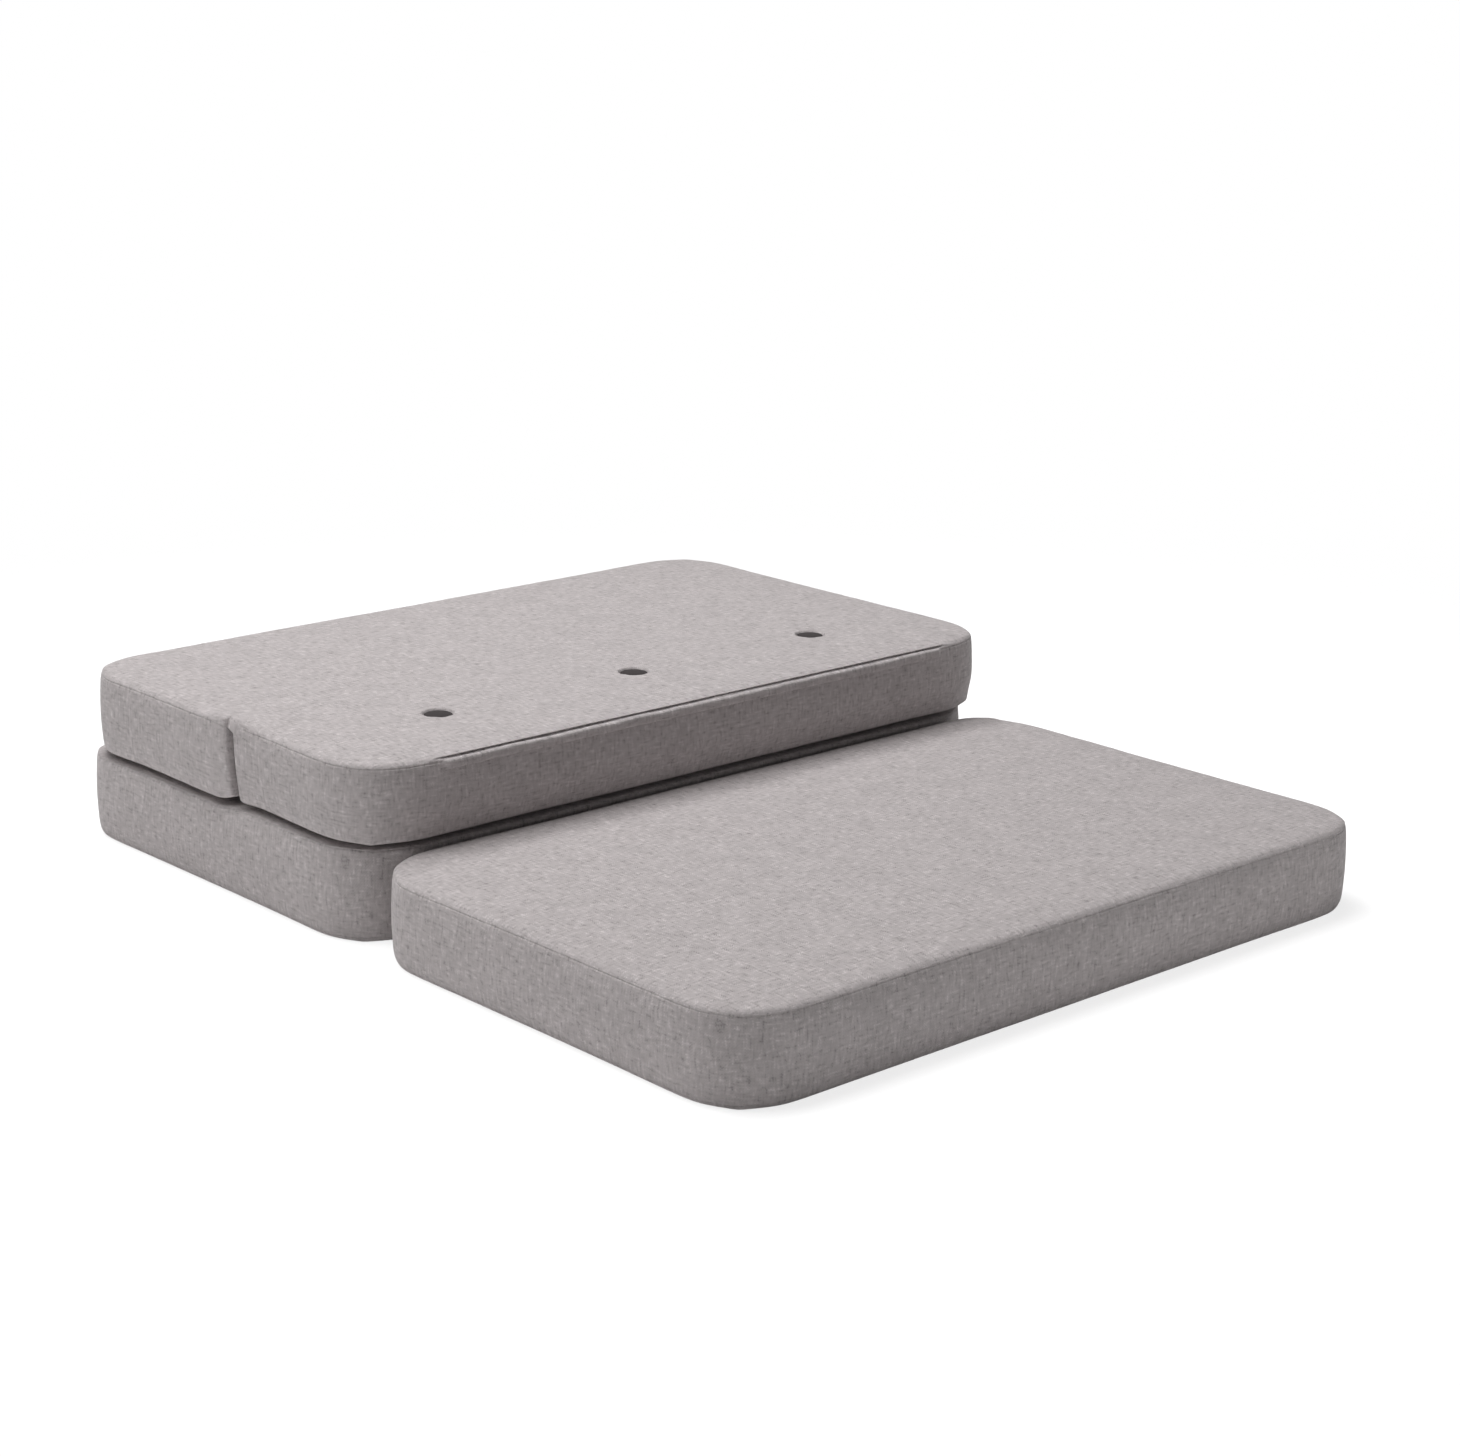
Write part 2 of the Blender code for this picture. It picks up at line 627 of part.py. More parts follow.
def build_top_web(rear, section, covers):
    """The two halves of the web across the split, laid over the crown to both ends."""
    half = PANEL_LENGTH / 2 - TOP_WEB_END_MARGIN
    steps = range(1, TOP_WEB_STATIONS + 1)
    flat = [FLAT_HALF_LENGTH * step / TOP_WEB_STATIONS for step in steps]
    falling = [FLAT_HALF_LENGTH + (half - FLAT_HALF_LENGTH) * step / TOP_WEB_STATIONS for step in steps]
    stations = [-x for x in reversed(flat + falling)] + [0] + flat + falling
    far = TOP_WEB_WIDTH + FIT_GAP
    for name, side, parent, cover in (("rear", 1, rear, covers[0]), ("front", -1, section, covers[1])):
        levels = []
        for x in stations:
            starts = [Vector((x, SPLIT_Y + side * y, TOP_FACE_Z + CUT_OVERRUN)) for y in (far, far / 2)]
            levels.append(max(surface_from(cover, start, Vector((0, 0, -1))).z for start in starts))
        path = [(x, z + FIT_GAP + WEB_THICKNESS / 2) for x, z in zip(stations, levels)]
        points = strip_outline(path, WEB_THICKNESS)
        place = (0, SPLIT_Y + side * (TOP_WEB_WIDTH / 2 + FIT_GAP), 0)
        title = "top_web_" + name + "_half"
        outline_object(title, points, TOP_WEB_WIDTH, place, parent, FABRIC, drawn_along="Y")


def button_profile():
    """Outline of a domed button from its top down to its foot."""
    dome = [(BUTTON_RADIUS * out, BUTTON_HEIGHT * up) for out, up in BUTTON_DOME_SHARES]
    return dome + [
        (BUTTON_RADIUS, BUTTON_RIM_HEIGHT),
        (BUTTON_RADIUS, BUTTON_LIP_HEIGHT),
        (BUTTON_FOOT_RADIUS, 0),
        (0, 0),
    ]


def build_button(name, place, parent):
    """A turned button: its outline spun about the upright axis."""
    mesh = bpy.data.meshes.new(name)
    profile = button_profile()
    edges = [(i, i + 1) for i in range(len(profile) - 1)]
    mesh.from_pydata([(radius, 0, height) for radius, height in profile], edges, [])
    button = add_object(name, mesh, place, parent, BUTTON)
    spin = button.modifiers.new("turn", "SCREW")
    spin.steps = TURN_STEPS
    spin.render_steps = TURN_STEPS
    spin.use_merge_vertices = True
    spin.merge_threshold = MERGE_DISTANCE
    spin.use_normal_calculate = True
    return button


def build_tufting(cover, foam, parent):
    """Three buttons, each tied through the foam to a disc under it."""
    y = BUTTON_SECTION.front + BUTTON_LINE
    under_foam = BUTTON_SECTION.lower_edge - CONTACT_CROWN + COVER_THICKNESS
    pocket_top = under_foam + 2 * FIT_GAP + ANCHOR_THICKNESS
    anchor_z = under_foam + FIT_GAP + ANCHOR_THICKNESS / 2
    for side, x in zip(("left", "middle", "right"), button_places()):
        seat = seat_height(cover, x, y)
        twine_low = anchor_z + ANCHOR_THICKNESS / 2 + FIT_GAP
        twine_high = seat
        hole_low = seat - 2 * CUT_OVERRUN
        cut_rod(cover, side + "_twine_hole", TWINE_HOLE_RADIUS, hole_low, seat + CUT_OVERRUN, (x, y))
        cut_rod(foam, side + "_twine_channel", TWINE_CHANNEL_RADIUS, under_foam, TOP_FACE_Z, (x, y))
        pocket_low = under_foam - CUT_OVERRUN
        pocket = ANCHOR_RADIUS + FIT_GAP
        cut_rod(foam, side + "_anchor_pocket", pocket, pocket_low, pocket_top, (x, y), TURN_STEPS)
        build_button(side + "_button", (x, y, seat + FIT_GAP), parent)
        twine = rod_mesh(side + "_twine", TWINE_RADIUS, twine_high - twine_low, TWINE_STEPS)
        add_object(side + "_twine", twine, (x, y, (twine_low + twine_high) / 2), parent, TWINE)
        disc = rod_mesh(side + "_anchor", ANCHOR_RADIUS, ANCHOR_THICKNESS, TURN_STEPS)
        add_object(side + "_twine_anchor", disc, (x, y, anchor_z), parent, ANCHOR)


clear_scene()
SOFA = new_collection("folding_foam_sofa")
CUTTERS = new_collection("cutters")
FABRIC = new_material("woven_cover", FABRIC_COLOUR, 0.9)
FOAM = new_material("cut_foam", FOAM_COLOUR, 0.95)
WEB = new_material("hinge_web", WEB_COLOUR, 0.9)
TAPE = new_material("zip_tape", TAPE_COLOUR, 0.8)
SLIDER = new_material("zip_slider", SLIDER_COLOUR, 0.4, 0.9)
BUTTON = new_material("button", BUTTON_COLOUR, 0.55)
TWINE = new_material("twine", TWINE_COLOUR, 0.8)
ANCHOR = new_material("anchor_disc", ANCHOR_COLOUR, 0.5)

base_root = add_axis("base_frame", (0, 0, 0))
front_axis = add_axis("front_fold_axis", FRONT_AXIS, base_root)
rear_axis = add_axis("rear_fold_axis", REAR_AXIS, base_root)
section_axis = add_axis("section_fold_axis", SECTION_AXIS, rear_axis)

build_layer(BASE, base_root, 1, BASE.lower_edge + EDGE_HEIGHT / 2)
build_layer(FRONT_PANEL, front_axis, 1, FRONT_PANEL.lower_edge + EDGE_HEIGHT / 2)
rear_cover, _ = build_layer(REAR_SECTION, rear_axis, 1, REAR_SECTION.lower_edge + EDGE_HEIGHT / 2)
top_zip_z = BUTTON_SECTION.upper_edge - ZIP_TOP_DROP
top_cover, top_foam = build_layer(BUTTON_SECTION, section_axis, -1, top_zip_z)
build_zip_flap(BUTTON_SECTION, top_cover, -1, top_zip_z)
build_webs(base_root, front_axis, rear_axis, section_axis, (rear_cover, top_cover))
build_tufting(top_cover, top_foam, section_axis)
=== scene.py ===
"""Looks of a folding foam sofa: woven covers over foam, sewn webs, tufting buttons and coil zips.

Each sub-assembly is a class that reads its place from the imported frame, builds its meshes and dresses them.
Lengths are in metres. X runs along the sofa, Y to its rear and Z up, with the floor at Z = 0.
"""
import logging
import math
from dataclasses import dataclass, field
from enum import Enum
from typing import Optional, Sequence

import bmesh
import bpy
import numpy as np
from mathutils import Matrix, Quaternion, Vector, noise
from mathutils.bvhtree import BVHTree


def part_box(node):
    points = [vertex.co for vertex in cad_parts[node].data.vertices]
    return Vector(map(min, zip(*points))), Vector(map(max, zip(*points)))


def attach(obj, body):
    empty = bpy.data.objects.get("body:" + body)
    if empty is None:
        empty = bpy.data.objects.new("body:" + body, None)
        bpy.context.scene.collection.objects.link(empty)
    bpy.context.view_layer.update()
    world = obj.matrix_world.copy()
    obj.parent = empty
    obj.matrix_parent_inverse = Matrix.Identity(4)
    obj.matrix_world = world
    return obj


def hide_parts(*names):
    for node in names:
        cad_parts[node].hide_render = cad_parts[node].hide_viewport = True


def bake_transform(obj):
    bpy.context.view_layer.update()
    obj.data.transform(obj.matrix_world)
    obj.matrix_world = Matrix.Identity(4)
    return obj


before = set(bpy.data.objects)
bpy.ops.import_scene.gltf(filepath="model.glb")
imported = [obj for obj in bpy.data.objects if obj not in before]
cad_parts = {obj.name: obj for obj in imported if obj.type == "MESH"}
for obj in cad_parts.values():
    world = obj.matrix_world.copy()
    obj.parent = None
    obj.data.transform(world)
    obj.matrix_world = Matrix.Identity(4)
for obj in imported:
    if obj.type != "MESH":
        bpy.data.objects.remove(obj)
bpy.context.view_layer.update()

LOG = logging.getLogger("folding_foam_sofa")
MM = 0.001
TOUCH = 0.1 * MM
CLOTH_MAP = "cloth"
CLOTH_FRAMES = 20
CLOTH_SETTINGS = {
    "quality": 4,
    "mass": 0.3,
    "use_pressure": True,
    "uniform_pressure_force": 4,
    "pin_stiffness": 0.3,
}


class Split(Enum):
    """Which long side of a layer is the slanted cut across the top layer."""

    NONE = "none"
    FRONT = "front"
    REAR = "rear"


class Panel(Enum):
    """Which panel of a cover a face of its cage belongs to."""

    TOP = "top"
    BOTTOM = "bottom"
    FRONT = "front"
    REAR = "rear"
    LEFT = "left"
    RIGHT = "right"


def linear(hex_colour: str) -> tuple[float, float, float, float]:
    """Turn an sRGB hex colour to linear light.

    Args:
        hex_colour: Six hex digits after a hash sign.

    Returns:
        Red, green, blue and an alpha of 1.
    """
    parts = [int(hex_colour[i : i + 2], 16) / 255 for i in (1, 3, 5)]
    low = [p / 12.92 if p <= 0.04045 else ((p + 0.055) / 1.055) ** 2.4 for p in parts]
    return low[0], low[1], low[2], 1.0


def add_node(
    tree: bpy.types.NodeTree,
    kind: str,
    values: Optional[dict] = None,
    links: Optional[dict] = None,
    stops: Sequence[tuple[float, str]] = (),
    **settings: object,
) -> bpy.types.Node:
    """Add a shader node with its settings and links.

    Args:
        tree: Node tree that takes the node.
        kind: Type name of the node.
        values: Input name or number to value.
        links: Input name or number to the socket that feeds it.
        stops: Positions and hex colours of a colour ramp.
        settings: Attributes of the node.

    Returns:
        The new node.
    """
    node = tree.nodes.new(kind)
    for key, value in settings.items():
        setattr(node, key, value)
    for key, value in (values or {}).items():
        node.inputs[key].default_value = value
    for key, socket in (links or {}).items():
        tree.links.new(socket, node.inputs[key])
    if stops:
        elements = node.color_ramp.elements
        while len(elements) < len(stops):
            elements.new(1.0)
        for element, (position, colour) in zip(elements, stops):
            element.position = position
            element.color = linear(colour)
    return node


def new_material(name: str) -> tuple[bpy.types.Material, bpy.types.Node]:
    """Make a material with a Principled shader.

    Args:
        name: Name of the material.

    Returns:
        The material and its Principled node.
    """
    material = bpy.data.materials.new(name)
    material.use_nodes = True
    return material, material.node_tree.nodes["Principled BSDF"]


@dataclass(frozen=True)
class WovenCloth:
    """Plain-woven melange upholstery cloth of slubby polyester yarn.

    The eye gets an even warm light grey, with sparse short flecks, lighter where a thick stretch of yarn
    comes up and darker where a dyed one does, along the cloth and across it. Real yarns lie 0.9 mm apart and
    are too fine to show, so the threads are drawn 1.8 mm apart and their slubs about two threads wide.
    """

    name: str
    bright_fleck: str = "#DFD8D8"
    light: str = "#C6BFBF"
    middle: str = "#BDB6B6"
    dark: str = "#B3ACAC"
    dark_fleck: str = "#898282"
    roughness: float = 0.92
    ior: float = 1.55
    sheen: float = 0.15
    sheen_roughness: float = 0.45
    thread: float = 1.8 * MM
    slub_width: float = 4 * MM
    slub_length: float = 16 * MM
    cloud: float = 45 * MM
    relief: float = 0.3 * MM

    def slubs(self, tree: bpy.types.NodeTree, cloth: bpy.types.NodeSocket, turned: bool) -> bpy.types.Node:
        """Streaks of tone along one thread direction.

        Args:
            tree: Node tree of the material.
            cloth: Socket of the cloth map.
            turned: Whether the streaks run along the second direction of the map.

        Returns:
            A noise node.
        """
        scale = [1 / self.slub_length, 1 / self.slub_width, 1]
        if turned:
            scale[0], scale[1] = scale[1], scale[0]
        placed = add_node(
            tree,
            "ShaderNodeMapping",
            {"Scale": scale, "Location": (7 * turned, 3 * turned, 0)},
            {"Vector": cloth},
        )
        return add_node(
            tree,
            "ShaderNodeTexNoise",
            {"Scale": 1.0, "Detail": 1.5, "Roughness": 0.55},
            {"Vector": placed.outputs["Vector"]},
            noise_dimensions="2D",
        )

    def ribs(self, tree: bpy.types.NodeTree, cloth: bpy.types.NodeSocket) -> list[bpy.types.NodeSocket]:
        """Round backs of the threads in each direction, from 0 between threads to 1 on top.

        Args:
            tree: Node tree of the material.
            cloth: Socket of the cloth map.

        Returns:
            One socket for each direction.
        """
        split = add_node(tree, "ShaderNodeSeparateXYZ", links={0: cloth})
        backs = []
        for axis in (1, 0):
            turn = add_node(
                tree,
                "ShaderNodeMath",
                {1: math.pi / self.thread},
                {0: split.outputs[axis]},
                operation="MULTIPLY",
            )
            wave = add_node(tree, "ShaderNodeMath", links={0: turn.outputs[0]}, operation="SINE")
            back = add_node(tree, "ShaderNodeMath", links={0: wave.outputs[0]}, operation="ABSOLUTE")
            backs.append(back.outputs[0])
        return backs

    def build(self) -> bpy.types.Material:
        """Build the material on the cloth's own map, whose unit is a metre."""
        material, shader = new_material(self.name)
        tree = material.node_tree
        cloth = add_node(tree, "ShaderNodeUVMap", uv_map=CLOTH_MAP).outputs["UV"]
        crossing = add_node(tree, "ShaderNodeTexChecker", {"Scale": 1 / self.thread}, {"Vector": cloth})
        tones = []
        for turned in (False, True):
            slub = self.slubs(tree, cloth, turned)
            tone = add_node(
                tree,
                "ShaderNodeValToRGB",
                links={"Fac": slub.outputs["Fac"]},
                stops=(
                    (0.24, self.dark_fleck),
                    (0.35, self.dark),
                    (0.50, self.middle),
                    (0.65, self.light),
                    (0.76, self.bright_fleck),
                ),
            )
            tones.append(tone.outputs["Color"])
        woven = add_node(
            tree,
            "ShaderNodeMix",
            links={0: crossing.outputs["Fac"], 6: tones[0], 7: tones[1]},
            data_type="RGBA",
        )
        clouds = add_node(
            tree,
            "ShaderNodeTexNoise",
            {"Scale": 1 / self.cloud, "Detail": 4.0},
            {"Vector": cloth},
            noise_dimensions="2D",
        )
        cloudy = add_node(
            tree,
            "ShaderNodeMapRange",
            {"From Min": 0.3, "From Max": 0.7, "To Min": 0.95, "To Max": 1.05},
            {"Value": clouds.outputs["Fac"]},
        )
        backs = self.ribs(tree, cloth)
        height = add_node(
            tree, "ShaderNodeMix", links={0: crossing.outputs["Fac"], 2: backs[0], 3: backs[1]}
        )
        # Painted shade: the colour is darkened by up to a tenth in the hollows between the threads, where
        # shade falls; the bump below gives the real relief.
        painted_thread_shade = add_node(
            tree,
            "ShaderNodeMapRange",
            {"From Min": 0.0, "From Max": 0.5, "To Min": 0.9, "To Max": 1.0},
            {"Value": height.outputs[0]},
        )
        # Random cloudy mottling of tone, times the painted shade between the threads.
        level = add_node(
            tree,
            "ShaderNodeMath",
            links={0: cloudy.outputs["Result"], 1: painted_thread_shade.outputs["Result"]},
            operation="MULTIPLY",
        )
        mottle_and_painted_thread_shade = add_node(
            tree,
            "ShaderNodeVectorMath",
            links={0: woven.outputs[2], "Scale": level.outputs[0]},
            operation="SCALE",
        )
        bump = add_node(
            tree,
            "ShaderNodeBump",
            {"Strength": 0.6, "Distance": self.relief},
            {"Height": height.outputs[0]},
        )
        tree.links.new(mottle_and_painted_thread_shade.outputs["Vector"], shader.inputs["Base Color"])
        tree.links.new(bump.outputs["Normal"], shader.inputs["Normal"])
        shader.inputs["Roughness"].default_value = self.roughness
        shader.inputs["IOR"].default_value = self.ior
        shader.inputs["Sheen Weight"].default_value = self.sheen
        shader.inputs["Sheen Roughness"].default_value = self.sheen_roughness
        return material


@dataclass(frozen=True)
class MottledSolid:
    """A solid finish whose tone and surface vary softly, in the material's own place.

    It serves cut polyurethane foam with its open cells, twisted polyester twine, moulded polypropylene discs,
    moulded buttons, zip tape and painted zinc, each with its own values.
    """

    name: str
    light: str
    dark: str
    grain: float
    relief: float
    roughness: float
    ior: float = 1.5
    metallic: float = 0.0
    stretch: tuple[float, float, float] = (1.0, 1.0, 1.0)
    detail: float = 3.0

    def build(self) -> bpy.types.Material:
        """Build the material on the object's own coordinates."""
        material, shader = new_material(self.name)
        tree = material.node_tree
        place = add_node(tree, "ShaderNodeTexCoord").outputs["Object"]
        scaled = add_node(tree, "ShaderNodeMapping", {"Scale": self.stretch}, {"Vector": place})
        grain = add_node(
            tree,
            "ShaderNodeTexNoise",
            {"Scale": 1 / self.grain, "Detail": self.detail, "Roughness": 0.6},
            {"Vector": scaled.outputs["Vector"]},
        )
        tone = add_node(
            tree,
            "ShaderNodeValToRGB",
            links={"Fac": grain.outputs["Fac"]},
            stops=((0.35, self.dark), (0.65, self.light)),
        )
        bump = add_node(
            tree,
            "ShaderNodeBump",
            {"Strength": 0.6, "Distance": self.relief},
            {"Height": grain.outputs["Fac"]},
        )
        tree.links.new(tone.outputs["Color"], shader.inputs["Base Color"])
        tree.links.new(bump.outputs["Normal"], shader.inputs["Normal"])
        shader.inputs["Roughness"].default_value = self.roughness
        shader.inputs["IOR"].default_value = self.ior
        shader.inputs["Metallic"].default_value = self.metallic
        return material


COVER_CLOTH = WovenCloth("slub_weave_cover_cloth")
WEB_CLOTH = WovenCloth(
    "plain_weave_web",
    bright_fleck="#BDB6B3",
    light="#ADA6A3",
    middle="#A39C99",
    dark="#98918E",
    dark_fleck="#827B78",
)
FOAM_FINISH = MottledSolid("cut_polyurethane_foam", "#EFE4C6", "#DDCFAC", 2 * MM, 0.6 * MM, 0.95)
BUTTON_FINISH = MottledSolid("cloth_covered_button", "#3E3939", "#302D2D", 1.2 * MM, 0.2 * MM, 0.9, ior=1.3)
TAPE_FINISH = MottledSolid("woven_zip_tape", "#6E6A68", "#5C5856", 0.8 * MM, 0.15 * MM, 0.8)
COIL_FINISH = MottledSolid("nylon_zip_coil", "#5A5654", "#4A4745", 0.5 * MM, 0.05 * MM, 0.4)
SLIDER_FINISH = MottledSolid("painted_zinc_slider", "#55524F", "#4A4745", 3 * MM, 0.03 * MM, 0.35)
TWINE_FINISH = MottledSolid("twisted_polyester_twine", "#DAD5C9", "#B9B3A5", 0.8 * MM, 0.2 * MM, 0.8)
ANCHOR_FINISH = MottledSolid("moulded_polypropylene_disc", "#E2E1DD", "#D6D5D0", 6 * MM, 0.05 * MM, 0.4)


def mesh_object(name: str, bm: bmesh.types.BMesh, smooth: bool = True) -> bpy.types.Object:
    """Turn a bmesh into an object of the scene.

    Args:
        name: Name of the piece.
        bm: Mesh data, which is freed.
        smooth: Whether the faces are shaded smooth.

    Returns:
        The new object.
    """
    mesh = bpy.data.meshes.new(name)
    bm.to_mesh(mesh)
    bm.free()
    if smooth:
        mesh.shade_smooth()
    obj = bpy.data.objects.new(name, mesh)
    bpy.context.scene.collection.objects.link(obj)
    return obj


def points_of(mesh: bpy.types.Mesh) -> np.ndarray:
    """Vertex places of a mesh, one row each."""
    co = np.empty(len(mesh.vertices) * 3, np.float32)
    mesh.vertices.foreach_get("co", co)
    return co.reshape(-1, 3).astype(float)


def set_points(mesh: bpy.types.Mesh, co: np.ndarray) -> None:
    """Move a mesh's vertices to these places."""
    mesh.vertices.foreach_set("co", co.astype(np.float32).ravel())
    mesh.update()


def normals_of(mesh: bpy.types.Mesh) -> np.ndarray:
    """Vertex normals of a mesh, one row each."""
    out = np.empty(len(mesh.vertices) * 3, np.float32)
    mesh.vertex_normals.foreach_get("vector", out)
    return out.reshape(-1, 3).astype(float)


def smoothed(obj: bpy.types.Object, levels: int) -> None:
    """Subdivide an object's mesh and keep the result.

    Args:
        obj: Object with a mesh.
        levels: Number of subdivisions.
    """
    modifier = obj.modifiers.new("smooth", "SUBSURF")
    modifier.levels = levels
    modifier.render_levels = levels
    graph = bpy.context.evaluated_depsgraph_get()
    mesh = bpy.data.meshes.new_from_object(obj.evaluated_get(graph))
    obj.modifiers.clear()
    old = obj.data
    name = old.name
    obj.data = mesh
    bpy.data.meshes.remove(old)
    mesh.name = name
    mesh.shade_smooth()


def ripple(co: np.ndarray, length: float, seed: float) -> np.ndarray:
    """Soft noise from -1 to 1 at each point.

    Args:
        co: Points, one row each.
        length: Distance over which the noise changes.
        seed: Shift that tells one pattern from another.

    Returns:
        One value for each point.
    """
    shift = Vector((seed, -seed, seed))
    return np.array([noise.noise(Vector(p) / length + shift) for p in co])


def surface_tree(objects: Sequence[bpy.types.Object]) -> BVHTree:
    """A search tree over the meshes of some pieces."""
    verts: list[Vector] = []
    faces: list[tuple[int, ...]] = []
    for obj in objects:
        base = len(verts)
        verts += [v.co.copy() for v in obj.data.vertices]
        faces += [tuple(base + i for i in p.vertices) for p in obj.data.polygons]
    return BVHTree.FromPolygons(verts, faces)


def eased(share: np.ndarray) -> np.ndarray:
    """Smooth step of a share that is held between 0 and 1."""
    held = np.clip(share, 0, 1)
    return held * held * (3 - 2 * held)


@dataclass(frozen=True)
class ContactRise:
    """How the rims of the stacked layers rise together, so that the base stands proud of the front panel.

    The same soft field bends the base, both parts of the upper layer and their foam, so nothing opens or
    meets. It is highest at the front, and the base swells into the split's lower corner at both ends.
    """

    half_length: float = 600 * MM
    front: float = -21 * MM
    foot: float = 60 * MM
    low_contact: float = 118 * MM
    high_contact: float = 134 * MM
    head: float = 195 * MM
    split_y: float = 297 * MM
    rear_end: float = 690 * MM
    rim: float = 15 * MM
    reach: float = 95 * MM
    at_front: float = 11 * MM
    at_corner: float = 9 * MM
    at_split: float = 6 * MM
    behind: float = 3 * MM
    swell: float = 6.5 * MM
    swell_reach: float = 45 * MM
    upper_gap: float = 3 * MM
    upper_back: float = 7 * MM
    corner_run: float = 60 * MM
    front_run: float = 100 * MM
    rear_run: float = 150 * MM
    drawn_run: float = 110 * MM
    drawn_share: float = 0.6
    back_run: float = 80 * MM

    def raised(self, co: np.ndarray, upper: bool) -> np.ndarray:
        """Raise points by the field.

        Args:
            co: Points, one row each.
            upper: Whether they belong to the upper layer, whose lower rim draws in a little more.

        Returns:
            The raised points.
        """
        x, y, z = co[:, 0], co[:, 1], co[:, 2]
        to_corner = eased((self.split_y - y) / self.corner_run)
        before = self.at_split + (self.at_corner - self.at_split) * to_corner
        before += (self.at_front - self.at_corner) * eased((self.front_run - y) / self.front_run)
        after = self.behind + self.swell * eased(1 - (y - self.split_y) / self.swell_reach)
        lift = np.where(y < self.split_y, before, after) * eased((self.rear_end - y) / self.rear_run)
        inside = np.minimum(self.half_length - abs(x), y - self.front)
        by_rim = eased(1 - (inside - self.rim) / self.reach)
        from_below = eased((z - self.foot) / (self.low_contact - self.foot))
        from_above = eased((self.head - z) / (self.head - self.high_contact))
        by_height = np.minimum(from_below, from_above)
        out = co.copy()
        out[:, 2] += lift * by_rim * by_height
        if upper:
            behind_front = eased((y - self.front) / self.drawn_run)
            drawn = eased(1 - (inside - self.rim) / (self.drawn_share * self.reach)) * behind_front
            out[:, 2] += self.upper_gap * drawn * by_height
            out[:, 1] += self.upper_back * eased(1 - (y - self.front) / self.back_run) * by_height
        return out


CONTACT_RISE = ContactRise()
FOAM_EDGE = 20 * MM


def rising_foam(name: str, tuck: float) -> bpy.types.Object:
    """The foam of an upper layer, bent with its cover.

    Args:
        name: Name of the layer.
        tuck: How far the foam's lower front edge is pressed in, where its cover is soft.

    Returns:
        The foam, which replaces its solid.
    """
    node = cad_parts[name + "_foam"]
    obj = bpy.data.objects.new(name + "_foam_block", node.data.copy())
    bpy.context.scene.collection.objects.link(obj)
    co = points_of(obj.data)
    at_edge = np.all(co[:, 1:] < co.min(0)[1:] + FOAM_EDGE, axis=1)
    co[at_edge, 1:] += tuck
    set_points(obj.data, CONTACT_RISE.raised(co, upper=True))
    obj.data.materials.clear()
    obj.data.materials.append(MATERIALS["foam"])
    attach(obj, name)
    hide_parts(name + "_foam")
    return obj


